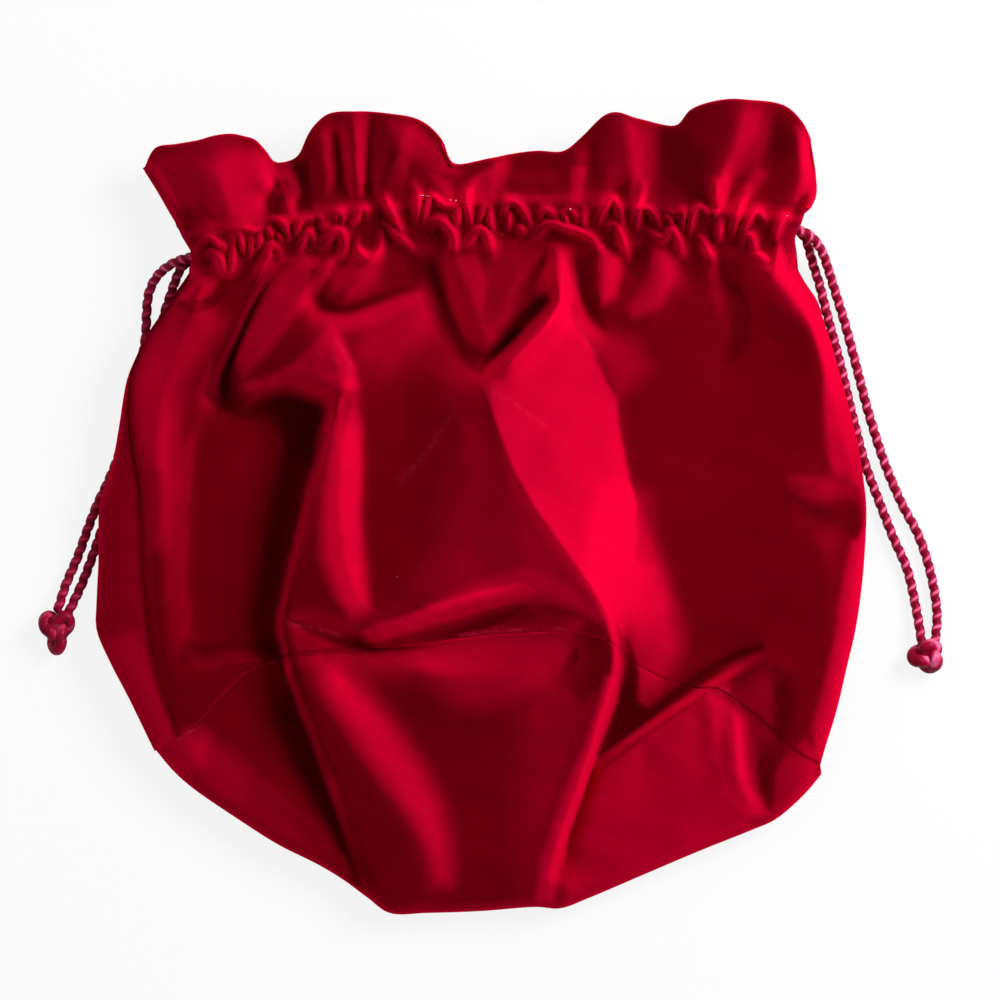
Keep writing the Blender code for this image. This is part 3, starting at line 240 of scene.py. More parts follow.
# Fold lines of the front: x, y and the height above the table, all in mm
folds = [
    # the outline, and the left side seam
    [(-109, 85, 14), (-114, 75.5, 15), (-122.5, 63.5, 15.5), (-128.5, 50, 15.5), (-129.5, 35, 15.5),
     (-127.5, 17, 15.5), (-125.5, 0, 15.5), (-125, -20, 15.5), (-124, -33, 15.5), (-122.5, -45, 15.5),
     (-120.5, -58, 15), (-117.5, -69, 15), (-112, -84, 14)],
    [(116.5, 89, 15), (124, 76, 15), (131.5, 52, 15), (139.2, 22, 14), (142, 0, 14), (140.2, -30, 15),
     (135, -58, 15), (127, -88, 14), (125, -95, 13)],
    [(-121.5, -88, 11), (-107, -103.3, 12), (-75, -124.5, 12), (-50, -138, 12), (-34, -149.7, 12),
     (0, -149, 12), (29, -148, 12), (60, -135.5, 12), (100, -119, 12), (115, -110, 12), (125.5, -98.5, 12)],
    # left side: the long soft fold inside the seam, then the sunken pocket
    [(-104, 83, 25), (-108, 70, 26), (-114, 55, 26), (-119, 38, 25), (-120, 22, 23), (-119, 5, 21),
     (-119, -20, 19), (-118, -45, 18), (-114, -62, 17)],
    [(-98, 62, 24), (-103, 45, 22), (-110, 28, 17)],
    [(-104, 25, 12), (-106, 5, 11), (-107, -20, 11), (-106, -45, 11)],
    [(-90, 28, 13), (-90, 5, 13), (-91, -20, 12.5), (-92, -45, 12)],
    [(-72, 34, 11), (-68, 20, 11), (-72, 0, 10.5), (-76, -20, 10.5), (-79, -40, 10.5), (-77, -55, 11)],
    # narrow crevice from the casing down to the pocket, and the folds on both sides of it
    [(-74, 88, 15), (-79, 83, 11), (-84, 75, 10), (-88, 65, 10), (-92, 55, 10), (-95, 46, 10),
     (-95, 38, 11)],
    [(-79, 88, 21), (-85, 78, 22), (-92, 64, 22), (-99, 50, 20), (-101, 40, 16)],
    [(-70, 88, 23), (-76, 79, 24), (-83, 64, 24), (-87, 54, 23), (-89, 46, 20)],
    [(-112, 77, 22), (-104, 76, 21), (-97, 79, 20), (-93, 86, 20)],
    # shelf above the pocket
    [(-51, 42, 35), (-60, 41.5, 28), (-66, 43.5, 25), (-72, 44, 23), (-80, 43, 21), (-88, 39, 18)],
    [(-58, 37, 14), (-66, 39.5, 12), (-72, 40, 12), (-80, 39, 12), (-87, 35, 12)],
    [(-48, 50, 36), (-58, 50, 31), (-68, 48.5, 28), (-80, 47, 24), (-88, 45, 21)],
    # pleats that run down from the casing on the left
    [(-53, 95, 24), (-60, 88, 27), (-68, 76, 28), (-75, 66, 27), (-80, 58, 26)],
    [(-50, 92, 18), (-56, 84, 18), (-61, 77, 18), (-59, 72, 19), (-50, 71.5, 20), (-40, 75, 20),
     (-26, 81, 21)],
    [(-42, 94, 25), (-45, 86, 27), (-52, 78, 25)],
    # left ridge of the middle flap, its slopes and the shadow gap beside it
    [(-24, 78, 24), (-40, 71, 27), (-52, 66, 31), (-55, 60, 34), (-53, 52, 36), (-51, 43, 37), (-53, 33, 36),
     (-56, 20, 35), (-58, 5, 35), (-59, -10, 34), (-58, -22, 33), (-55, -32, 32), (-50, -40, 31)],
    [(-46, 56, 33), (-46.5, 46, 32), (-44, 30, 28), (-43, 10, 26), (-44, -10, 26), (-44, -25, 26),
     (-41, -40, 27)],
    [(-50, 40, 32), (-54.5, 28, 31), (-57.5, 15, 30), (-61, 2, 30), (-64, -12, 30), (-67, -26, 29),
     (-70, -38, 28), (-70, -46, 27), (-68, -55, 27), (-64.5, -66, 26), (-60, -77, 26), (-55, -90, 24),
     (-50, -104, 22), (-46, -120, 18), (-40.5, -136, 14)],
    [(-56, 34, 13), (-60, 22, 12), (-63, 10, 12), (-66, -4, 12), (-69.5, -18, 12), (-72.5, -32, 12),
     (-75, -43, 12), (-73, -57, 12), (-69, -68, 12), (-64.5, -80, 12), (-59.5, -95, 11.5),
     (-54.5, -109, 11), (-50, -124, 10.5), (-45, -138, 9.5)],
    [(-30, 55, 25), (-28, 30, 26), (-26, 5, 28), (-24, -20, 29)],
    [(-8, 30, 31), (-6, 5, 34), (-2, -20, 36)],
    # tongue of cloth under the casing, between two deep valleys
    [(-19, 91, 17), (-16, 82, 16), (-12, 70, 16), (-8, 60, 16), (-3, 53, 18)],
    [(-27, 86, 20), (-24, 74, 23)],
    [(-12, 96, 25), (-8, 86, 27), (-3, 76, 26), (1, 66, 23), (3, 60, 20)],
    [(12, 88, 24), (8, 76, 23), (5, 68, 21)],
    [(24, 92, 20), (18, 81, 19), (10, 70, 18), (3, 61, 18)],
    [(26, 76, 26), (22, 71.5, 21), (13, 62, 19), (5, 54, 19), (0, 50, 21)],
    # long middle ridge, from the casing to the fold of the base, and the slope on its right
    [(28, 97, 27), (28, 88, 33), (28.5, 77, 39), (22, 70, 40), (14, 62, 41), (6, 54, 42), (1, 47, 42),
     (3, 36, 43), (5, 26, 44), (9, 12, 45), (16, 0, 46), (21.5, -8, 47), (32, -23, 47), (39, -33, 45),
     (44, -43, 43), (46, -53, 40), (45, -62, 37), (42.5, -72, 35), (39.5, -82, 33), (35.5, -94, 30),
     (31, -108, 27), (27, -121, 24), (24, -133, 19), (25, -143, 14)],
    [(33, 68, 34), (42, 54, 29), (48, 42, 26), (51, 30, 25), (53, 18, 24), (58, 4, 22), (64, -10, 21),
     (70, -25, 20), (72, -40, 18), (68, -55, 16), (62, -68, 14)],
    [(51, -47, 22), (52.5, -57, 16), (51.5, -65, 13), (48.5, -75, 12), (45, -85, 12), (41, -96, 12),
     (36, -110, 12), (31, -123, 11), (28.5, -135, 10.5)],
    # pleats on the right
    [(34, 93, 22), (36, 82, 22), (38, 73, 23), (44, 66, 25)],
    [(46, 95, 25), (44, 86, 28), (43, 77, 28)],
    [(56, 94, 18), (53, 84, 22), (48, 73, 26)],
    [(67, 98, 24), (66, 88, 26), (62, 78, 27), (56, 70, 27)],
    [(74, 92, 20), (78, 82, 20), (86, 74, 20)],
    [(82, 96, 23), (84, 88, 23)],
    [(90, 94, 15), (91, 88, 14), (94, 81, 14), (97.5, 75, 15), (98, 68, 16), (95, 61, 17), (88, 56, 18)],
    [(98, 95, 25), (104, 91, 27), (108, 84, 28), (116, 74, 26), (122, 66, 24), (125, 57, 23), (126, 42, 22),
     (127, 25, 21), (128, 14, 20)],
    [(108, 62, 19), (100, 54, 19), (92, 48, 18), (104, 52, 18), (114, 58, 20)],
    [(110, 40, 20), (112, 20, 19), (95, 20, 19), (90, 0, 18), (100, -20, 17), (95, -40, 16)],
    [(117, 8, 22), (124, 6, 20), (133, 7, 16)],
    [(118, 1, 17), (128, 0, 14), (136, -4, 11)],
    [(124, -15, 19), (128, -30, 19), (127, -50, 18), (121, -68, 17), (115, -80, 16)],
    # right lobe of the base, which rises over the deep valley beside the middle ridge
    [(43, -98, 19), (51, -93.5, 22), (60, -86.5, 24), (70, -79.5, 25), (80, -73, 26), (90, -66, 26),
     (98, -62, 25), (105, -59.5, 22), (112, -60, 19)],
    [(45, -91.5, 11), (50, -88, 11), (60, -81, 11), (70, -74, 11), (80, -67, 11), (90, -60, 12),
     (98, -55, 14)],
    [(92, -72, 27), (93, -88, 27), (94.5, -100, 24), (99, -109, 17)],
    [(99, -78, 20), (101, -92, 16), (102, -103, 13), (107, -110, 11)],
    [(108, -66, 15), (109, -78, 13), (110, -88, 13)],
    [(118, -88, 17), (115, -97, 16), (110, -105, 13)],
    [(80, -80, 23), (78, -100, 22), (70, -118, 17)],
    [(60, -92, 20), (55, -110, 19), (48, -128, 15)],
    [(45, -97, 19), (40, -112, 18), (36, -125, 15)],
    # crease that lies across the flap above the base
    [(-70, -42, 25), (-60, -44, 24), (-50, -47.5, 22), (-41, -50.5, 21)],
    [(-40, -47.5, 31), (-30, -45, 33), (-20, -41.5, 35), (-10, -38.5, 36), (0, -35.5, 37), (10, -33, 38),
     (20, -31.5, 40)],
    [(-38, -53, 19), (-28, -52, 19), (-20, -49.5, 19), (-10, -46, 20), (0, -43, 22), (10, -40, 26),
     (20, -38, 31)],
    # bulge of the base below it, with a bright slope on each side
    [(-68, -48, 27), (-60, -48, 26)],
    [(34, -43, 35), (27, -52, 33), (14, -61, 32), (0, -63, 31), (-14, -63, 30), (-24, -60, 27)],
    [(35, -53, 28), (29, -64, 27), (21, -75, 26)],
    [(41, -49, 38), (38, -62, 34), (33, -80, 30), (27, -100, 25), (20.5, -118, 22), (19, -134, 17)],
    [(-62, -60, 27), (-56, -72, 29), (-47, -88, 29), (-38, -101, 28), (-28, -114, 26), (-21, -127, 22),
     (-18, -140, 15)],
    [(-50, -62, 22), (-38, -74, 23), (-27, -85, 23), (-18, -99, 22), (-12, -114, 20), (-9, -130, 16),
     (-9, -142, 12)],
    [(5, -85, 25), (4, -105, 21), (4, -125, 16)],
    # left lobe of the base
    [(-104, -62, 17), (-97, -60, 17), (-90, -57.5, 17), (-84, -58.5, 17), (-76, -58.5, 15)],
    [(-105, -54, 12), (-97, -52, 12), (-90, -50.5, 12), (-84, -51, 12)],
    [(-112, -71, 16), (-104, -75, 16), (-98, -80, 15)],
    [(-88, -70, 14), (-87, -85, 13), (-84, -96, 13)],
    [(-108, -90, 16), (-104, -96, 15)],
    [(-80, -104, 16), (-70, -112, 15), (-60, -121, 14), (-50, -132, 12)],
    # casing
    [(-100, 95, 26), (-80, 97.5, 26), (-45, 103, 26), (0, 107, 26), (40, 105, 26), (85, 102, 26),
     (109, 101, 26)],
    [(-98, 87, 23), (-80, 88, 23)],
    # frill
    [(-124, 124, 10), (-118, 116, 11), (-111.5, 103.5, 13)],
    [(121.5, 135, 10), (123.5, 122, 11), (123.5, 113, 12), (120.5, 107.5, 13)],
    [(-118, 127, 20), (-112, 115, 21), (-107, 106, 20)],
    [(-100, 134, 29), (-97, 121, 30), (-94, 110, 27), (-91, 104, 23)],
    [(-104, 112, 19), (-100, 106, 18)],
    [(-84, 131, 30), (-80, 119, 29), (-74, 110, 24)],
    [(-79, 113, 20), (-77, 119, 21)],
    [(-73, 121, 27), (-70, 115, 26)],
    [(-70, 127, 17), (-68, 118, 16), (-67, 112, 17)],
    [(-60, 139, 24), (-58, 122, 23), (-59, 112, 20)],
    [(-53, 138, 17), (-51, 122, 16), (-51, 112, 16)],
    [(-48, 143, 27), (-47, 128, 27), (-46, 116, 25)],
    [(-41, 143, 18), (-42, 128, 17), (-42, 115, 17)],
    [(-28, 141, 29), (-32, 130, 28), (-37, 120, 26), (-37, 114, 23)],
    [(-26, 127, 20), (-26, 118, 20)],
    [(-14, 128, 28), (-20, 122, 25)],
    [(-9, 123, 25), (-4, 117, 22)],
    [(5, 126, 24), (3, 116, 23)],
    [(11, 127, 16), (13, 117, 16), (24, 117, 15), (28, 128, 15)],
    [(34, 130, 21), (33, 118, 21)],
    [(42, 134, 17), (40, 118, 17)],
    [(52, 142, 27), (54, 130, 27), (55, 118, 24), (50, 113, 22)],
    [(66, 139, 16), (66, 125, 16), (68, 118, 16)],
    [(78, 143, 20), (76, 128, 19), (74, 117, 18)],
    [(96, 148, 29), (93, 136, 30), (89, 125, 28), (86, 113, 25)],
    [(92, 122, 19), (91, 112, 18)],
    [(108, 143, 20), (106, 125, 18), (104, 114, 18)],
    [(116, 138, 22), (118, 125, 21), (114, 112, 21)],
]

# Where the cloth leans over the fold below it: x, y and the lean to the right, or down, in mm
leansRight = [
    [(28, 88, 0), (22, 70, 1.5), (6, 54, 2.0), (1, 47, 1.0), (5, 26, 0), (26, -16, 0), (39, -33, 1.5),
     (44, -43, 3.0), (46, -53, 4.0), (45, -62, 4.5), (42.5, -72, 4.5), (39.5, -82, 4.5), (35.5, -94, 4.5),
     (31, -108, 4.0), (27, -121, 3.0), (24, -133, 2.0), (25, -143, 0.5)],
    [(52.5, -57, 0), (51.5, -65, 0), (48.5, -75, 0), (45, -85, 0), (41, -96, 0), (36, -110, 0),
     (31, -123, 0)],
    [(-50, 40, -1.0), (-54.5, 28, -2.5), (-61, 2, -4.0), (-67, -26, -4.5), (-70, -42, -4.5),
     (-68, -55, -4.5), (-64.5, -66, -4.5), (-60, -77, -4.5), (-55, -90, -4.0), (-50, -104, -3.5),
     (-46, -120, -2.5), (-40.5, -136, -1.0)],
    [(-60, 22, 0), (-66, -4, 0), (-72.5, -32, 0), (-75, -43, 0), (-69, -68, 0), (-59.5, -95, 0),
     (-50, -124, 0)],
    [(-70, 88, -1), (-76, 79, -2.0), (-83, 64, -2.5), (-87, 54, -2.5), (-89, 46, -1)],
    [(-79, 88, 0.5), (-85, 78, 1.5), (-92, 64, 1.5), (-99, 50, 1.0), (-101, 40, 0)],
    [(-84, 75, 0), (-88, 65, 0), (-92, 55, 0)],
    [(-73, 121, 2.0), (-70, 115, 2.0)],
    [(98, 95, -1.0), (104, 91, -1.5), (108, 84, -1.5), (110, 78, 0)],
]
leansDown = [
    [(43, -98, -1.5), (51, -93.5, -3.0), (60, -86.5, -3.5), (70, -79.5, -3.5), (80, -73, -3.5),
     (90, -66, -3.0), (98, -62, -2.0), (105, -59.5, -1.5), (112, -60, 0)],
    [(50, -88, 0), (60, -81, 0), (70, -74, 0), (80, -67, 0), (90, -60, 0), (98, -55, 0)],
    [(-40, -47.5, -1.5), (-20, -41.5, -2.5), (0, -35.5, -2.5), (20, -31.5, -1.0)],
    [(-38, -53, 0), (-20, -49.5, 0), (0, -43, 0), (20, -38, 0)],
    [(-51, 42, -1.0), (-60, 41.5, -2.0), (-72, 44, -2.0), (-80, 43, -1.5), (-88, 39, 0)],
]

heights = relaxedHeights(folds)
leanX, leanY = relaxedShift(leansRight), relaxedShift(leansDown)
print("fold heights", round(float(heights.min()), 1), round(float(heights.max()), 1))


# Casing, gathered on two cords

casing = {
    "half": 5.9,                # mm from its middle to each row of stitching
    "rows": 9.0,                # mm from its middle to the last of its rows of points
    "floor": 23.9,              # mm above the table, between the gathers
    "blend": (4.6, 12.5),       # it passes over into the cloth beside it between these ways from the middle
    "ledge": (1.4, 0.62, 4.0),  # no valley lies lower beside it: drop, slope and how round it starts
    "ledgeMix": 1.5,            # how softly the valleys pass over into it
    "sink": 1.4,                # mm, of the valleys between the gathers, on both sides of it
    "sinkFrom": (4.5, 9.0),     # they set in between these ways from the middle
    "sinkEnds": (8.0, 5.5),     # and die away from here, within this reach
    "loosely": (0.4, 2.5),      # how much shallower they get on the body's pleats, and how far these sway
    "lift": 1.3,                # the gathers' heights are taken times this
    "fuller": 1.35,             # and their widths times this
    "foot": 2.2,                # how far a gather's foot reaches, in its widths
    "under": 17.4,              # mm above the table, of the layer below the cords
    "channel": (0.6, 1.8),      # how that layer comes down: mm past the stitching, and the way it takes
    "channelEnds": (5.0, 4.0),  # the same at the casing's ends
    "backTucks": [-111, -104.5, -94, -87.6, -80.5, -74, -69, -62.5, -52.5, -41.5, -30, -21, -10.5, -0.5, 5.2,
                  11, 18.3, 29.3, 36.9, 44.5, 54, 66, 75.5, 83.3, 91, 98, 107, 114, 120],
    "bodyTucks": [-116, -109, -96, -85.5, -75, -64, -49, -29.5, -11, 2, 12, 23, 36, 47, 58.5, 67.5, 80, 87,
                  95.5, 104, 113, 122],
    "endsAt": (-107.6, 116.4),  # mm, x of its left and right end
    "slant": (-0.40, 0.26),     # of its ends, which lean out towards the frill
}


def endOf(up, side):
    # x of the casing's left or right end, at a way up from its middle line
    return casing["endsAt"][side] + casing["slant"][side] * np.clip(up + 1.0, 0, 12)


def casingY(x):
    # the casing's middle line, evened out so that the cords run in soft bends
    line = np.array(plan["casing"], float)
    spread = np.arange(-18, 19, 6)
    return sum(np.interp(x + step, line[:, 0], line[:, 1]) for step in spread) / len(spread)


def gathers(x, up, tucks, sway=1.3):
    # 0 in the tucks and 1 on the puffs between them; up is the way from the casing's middle line
    tucks = np.array(tucks, float)
    order = np.arange(len(tucks))
    near = np.interp(x, tucks, order)
    moved = x - sway * np.sin(near * 1.1) * np.clip(up / 14, -1.5, 1.5)
    share = np.interp(moved, tucks, order) % 1.0
    return np.sin(math.pi * share) ** 0.7


# Small gathers at the casing: points on the ridge, half its width and its height, in mm
tufts = [
    ([(-105, 93), (-103, 97.5), (-99.8, 99.3), (-97.3, 96.8), (-95, 93), (-93.8, 90)], 1.3, 3.2),
    ([(-102, 93), (-98.8, 94), (-96.6, 91.5), (-95.6, 88), (-96, 84)], 2.0, 4.0),
    ([(-98, 99), (-95, 96), (-93.3, 92.5)], 1.2, 2.5),
    ([(-91.5, 101), (-91.8, 95), (-92.4, 90), (-94, 84)], 1.6, 3.4),
    ([(-89.2, 101.8), (-88.5, 97), (-87.3, 92)], 1.0, 3.6),
    ([(-89, 102.8), (-86, 102.4), (-83, 102), (-80, 103.6)], 0.9, 2.2),
    ([(-84.6, 101), (-85, 96), (-86.6, 91)], 1.3, 3.0),
    ([(-81.2, 102.6), (-82, 98), (-83.6, 94)], 1.3, 3.4),
    ([(-79, 104), (-78, 101), (-77.4, 98.5)], 1.1, 3.6),
    ([(-78.6, 105.3), (-76, 106.3), (-73, 104.6), (-71.6, 101), (-71.2, 97.5)], 1.3, 3.4),
    ([(-75.6, 102), (-74.5, 99.5), (-72.8, 97.6)], 1.0, 2.8),
    ([(-86, 82), (-82, 87.5), (-79, 93), (-77.4, 97), (-75.4, 94.6), (-73, 90.4)], 1.9, 4.0),
    ([(-69, 99), (-68, 103.5), (-66, 106.6), (-63.6, 106.4), (-62.2, 104.6)], 1.3, 3.6),
    ([(-68.5, 93.6), (-65.4, 99), (-63.6, 101.8), (-62.2, 99), (-61.6, 95.5)], 1.3, 3.4),
    ([(-61.4, 107), (-59.6, 106.8), (-58, 102.6), (-56.4, 104.5), (-55.2, 107.6)], 1.0, 3.0),
    ([(-54.4, 103), (-53.4, 108), (-52, 109.4), (-51.4, 106), (-51.6, 102.5)], 1.2, 3.4),
    ([(-61, 95), (-57.5, 98), (-54.6, 101.4), (-52, 101.6), (-50.8, 98), (-52.4, 91)], 2.2, 4.2),
    ([(-50.4, 108), (-48.4, 104.6), (-46.2, 106.4), (-44.4, 109.6), (-42.8, 110.2), (-42.6, 105)], 1.1, 3.0),
    ([(-45.6, 101.5), (-46.4, 97), (-44.4, 93.4), (-41.6, 91.8), (-39, 93.4), (-37.4, 98), (-37.2, 103)],
     1.5, 3.6),
    ([(-38.5, 119), (-36, 114.4), (-33.8, 110), (-31.8, 105.6), (-29.6, 101), (-27, 98)], 1.7, 4.0),
    ([(-37.4, 104.6), (-34.6, 104.2), (-31.8, 101), (-28.6, 98.4), (-24.6, 95)], 1.3, 3.6),
    ([(-25.4, 121), (-23.6, 115), (-23.6, 110), (-24.8, 104)], 1.7, 3.8),
    ([(-22.4, 102), (-21.4, 107), (-20.2, 112), (-18, 114.6), (-14, 111.6), (-10, 111), (-6.8, 113.4)],
      1.3, 3.6),
    ([(-7.4, 112), (-9, 107), (-10, 102.4)], 1.7, 3.8),
    ([(-19.4, 101.6), (-18.4, 104.4), (-15.6, 105.8), (-12.4, 103.6), (-10.2, 99.6), (-10.6, 95),
      (-13, 92.4)], 2.0, 4.2),
    ([(-2.4, 122), (-5.6, 115), (-5, 109), (-4.2, 104), (-5.8, 100.6)], 1.6, 3.6),
    ([(1.4, 112.6), (0, 108), (-1.8, 103.6)], 1.2, 3.2),
    ([(3, 112), (3, 106), (4.2, 100.4)], 1.3, 3.8),
    ([(-8, 95), (-4.6, 98.6), (-1, 102.4), (1.4, 101.6), (3.2, 96), (3.6, 90)], 2.0, 3.8),
    ([(8.2, 103), (8.4, 109), (9.8, 112.6), (12.6, 112.4), (15.6, 109), (17.2, 105), (17.8, 100.6)],
      1.4, 3.6),
    ([(10.8, 110.6), (9.8, 105), (9.4, 101.6)], 1.0, 3.0),
    ([(12.6, 100.4), (14.8, 102.8), (16.6, 100.6)], 1.3, 3.0),
    ([(20.6, 105), (22, 108.6), (23.8, 109.8), (26.4, 108), (29, 104.8)], 1.3, 3.4),
    ([(16.6, 100), (20.4, 101), (23.4, 103.8), (26.4, 104.6), (32, 102.8), (37, 101.2), (41, 99), (43, 95.6),
      (46.4, 93.6)], 1.6, 4.2),
    ([(29.2, 110), (30.6, 107), (32, 103.4)], 1.1, 3.4),
    ([(30, 109.8), (33, 108.8), (35, 106.8), (35.4, 103)], 1.1, 3.0),
    ([(38.6, 111), (37.4, 106.6), (37.6, 102.4)], 1.2, 2.8),
    ([(42.2, 103), (43.8, 108), (46, 111.4), (48.6, 113.6), (50.4, 111), (51.2, 106), (52, 101)], 1.5, 3.8),
    ([(44.8, 104.6), (47, 103.4), (49.4, 104), (51.4, 100), (53, 95), (54, 89)], 1.8, 3.8),
    ([(59.6, 121), (58.8, 114), (56.6, 109), (55.4, 103.6)], 1.6, 3.6),
    ([(56.6, 101.4), (57.4, 106.6), (58.8, 110.2), (61, 110.2), (63.6, 107.6), (65.4, 104), (66.4, 101.6)],
      1.4, 3.8),
    ([(61, 102.8), (63.4, 100.4), (66.4, 99.2), (68.6, 100.2), (70.2, 102.4), (72, 99.6), (73.4, 95.4),
      (74, 91)], 1.6, 3.8),
    ([(66.8, 104.4), (68.6, 107), (69.6, 104.6), (69, 101.8)], 1.0, 2.8),
    ([(67.6, 109.6), (70, 108.6), (72.2, 107.8), (74.2, 109.4), (74.2, 105), (73.6, 100.6)], 1.2, 3.4),
    ([(76, 99), (76.8, 104), (78.4, 109), (80.2, 110.8), (82.4, 108.8), (84.6, 106)], 1.3, 3.4),
    ([(85.2, 106.6), (87, 109.4), (89.2, 109.6)], 1.0, 2.8),
    ([(88.4, 107), (87.6, 102), (86.8, 97)], 1.4, 3.6),
    ([(79.4, 101), (81.4, 98.4), (84, 93.6), (87.4, 89)], 1.7, 3.2),
    ([(86, 122), (86.4, 115), (88.4, 109.8)], 1.8, 3.2),
    ([(98.6, 119), (95.6, 112), (93.4, 105), (91.6, 99)], 1.7, 3.6),
    ([(95.4, 98), (97, 103), (99.4, 107.6), (101.6, 109.2), (104, 106.6), (105.4, 103.6)], 1.4, 3.4),
    ([(95.8, 95.4), (98, 100), (99.8, 100), (101, 96.6), (103, 93)], 1.6, 3.8),
    ([(99, 95), (102.4, 93.4), (106, 91.6), (109, 91.2)], 1.1, 2.6),
    ([(108, 96), (108.8, 101), (110.2, 105), (112.4, 107.4), (114, 105)], 1.5, 3.4),
    ([(109.6, 99), (109.6, 94), (109.2, 89), (106.8, 85)], 1.5, 3.4),
]


def tuftsAt(x, y):
    # height of the gathers, and their share, which sets the painted light on them; each dies away at its
    # ends
    rise, share = np.zeros(x.shape), np.zeros(x.shape)
    for points, width, height in tufts:
        line, width = smoothLine(points, 4), width * casing["fuller"]
        foot = width * casing["foot"]
        near = inBoxOf(x, y, line, foot)
        if not near.any():
            continue
        spots = np.stack([x[near], y[near]], axis=1)
        run = np.concatenate([[0], np.cumsum(np.linalg.norm(np.diff(line, axis=0), axis=1))])
        best, place = np.full(len(spots), 1e9), np.zeros(len(spots))
        for start, end, before in zip(line[:-1], line[1:], run[:-1]):
            away, part = offPiece(spots, start, end)
            place = np.where(away < best, before + part * np.linalg.norm(end - start), place)
            best = np.minimum(best, away)
        taper = np.clip(np.minimum(place, run[-1] - place) / (0.38 * run[-1] + 0.5), 0, 1) ** 0.7
        crest = 0.5 + 0.5 * np.cos(math.pi * np.clip(best / width, 0, 1))
        slope = 0.5 + 0.5 * np.cos(math.pi * np.clip(best / foot, 0, 1))
        rise[near] = np.maximum(rise[near], height * taper * (0.6 * crest + 0.4 * slope))
        share[near] = np.maximum(share[near], taper * (0.5 * crest + 0.5 * slope))
    return rise, share


def unevenness(x, y):
    # slight waves that every laid cloth has
    return (0.16 * np.sin(0.21 * x + 0.11 * y + 0.6) * np.sin(0.17 * y - 0.05 * x)
            + 0.12 * np.sin(0.37 * x - 0.23 * y + 2.1) + 0.08 * np.sin(0.11 * x + 0.47 * y)
            + 0.05 * np.sin(0.83 * x + 0.29 * y + 1.0) * np.sin(0.7 * y - 0.31 * x))


edges = {"rightHeight": 9.5, "rightRoll": 6.0, "foldHeight": 6.5, "foldRoll": 5.0, "frillHeight": 10.5,
         "frillRoll": 4.0, "seamDip": 0.35, "seamReach": 0.8, "baseDip": 0.1, "baseReach": 1.0,
         "endDrop": 9.5, "endRoll": 9.0, "endRows": (10.0, 3.0)}     # mm, like all of them


def quarter(distance, roll):
    # rises from 0 at an edge with a round shoulder
    share = 1 - np.clip(distance / roll, 0, 1)
    return np.sqrt(np.maximum(1 - share ** 2, 0))


def frontHeight(spots):
    # height in mm of the outside of the front and of the top of the base
    x, y = spots[..., 0], spots[..., 1]
    up = y - casingY(x)
    z = sample(heights, field["steps"][-1], x, y) + unevenness(x, y) * np.clip(np.abs(up) / 12, 0, 1)
    inBand = np.clip((casing["blend"][1] - np.abs(up)) / (casing["blend"][1] - casing["blend"][0]), 0, 1)
    inBand = eased(inBand)
    z = z * (1 - inBand) + casing["floor"] * inBand
    # no valley drops far beside the stitching
    drop, slope, bend = casing["ledge"]
    outward = np.clip(np.abs(up) - casing["half"] + 1.5, 0, 30)
    least = casing["floor"] - drop - slope * (np.sqrt(outward ** 2 + bend ** 2) - bend)
    z = 0.5 * (z + least + np.sqrt((z - least) ** 2 + casing["ledgeMix"] ** 2))
    # between the gathers the cloth runs down into short valleys on both sides of the casing
    low, high = casing["sinkFrom"]
    last, fade = casing["sinkEnds"]
    beside = eased(np.clip((np.abs(up) - low) / (high - low), 0, 1))
    beside = beside * np.exp(-(np.clip(np.abs(up) - last, 0, None) / fade) ** 2)
    less, sway = casing["loosely"]
    z -= casing["sink"] * beside * (1 - less * gathers(x, up, casing["bodyTucks"], sway))
    z += casing["lift"] * tuftsAt(x, y)[0]
    # seams are sunk lines
    z -= edges["baseDip"] * nearLine(spots, lines["baseSeam"], edges["baseReach"])
    z -= edges["seamDip"] * nearLine(spots, lines["sideLeft"], edges["seamReach"])
    return z


def rolledEdges(spots, z):
    # the cloth turns under at the right side and at the fold of the base
    right = quarter(distanceTo(spots, lines["sideRight"]), edges["rightRoll"])
    z = edges["rightHeight"] + (z - edges["rightHeight"]) * right
    fold = quarter(distanceTo(spots, lines["baseFold"]), edges["foldRoll"])
    z = edges["foldHeight"] + (z - edges["foldHeight"]) * fold
    for side in ("frillLeft", "frillRight"):
        away = quarter(distanceTo(spots, lines[side]), edges["frillRoll"])
        z = edges["frillHeight"] + (z - edges["frillHeight"]) * away
    # open ends of the casing
    up = spots[..., 1] - casingY(spots[..., 0])
    inward = np.minimum(spots[..., 0] - endOf(up, 0), endOf(up, 1) - spots[..., 0])
    last, fade = edges["endRows"]
    drop = (1 - quarter(inward, edges["endRoll"])) * np.clip((last - np.abs(up)) / fade, 0, 1)
    return z - edges["endDrop"] * drop


def laidFront(spots):
    # plan points in mm to places in metres, with the lean of overhanging folds
    z = rolledEdges(spots, frontHeight(spots))
    x = spots[..., 0] + sample(leanX, lean["step"], spots[..., 0], spots[..., 1])
    y = spots[..., 1] - sample(leanY, lean["step"], spots[..., 0], spots[..., 1])
    # the plan is as seen from the camera's height, so high places stand a little nearer the middle
    scale = 1 - np.clip(z - 10, 0, None) / view["height"]
    x = view["centre"][0] + (x - view["centre"][0]) * scale
    y = view["centre"][1] + (y - view["centre"][1]) * scale
    return np.stack([x, y, z], axis=-1) * mm


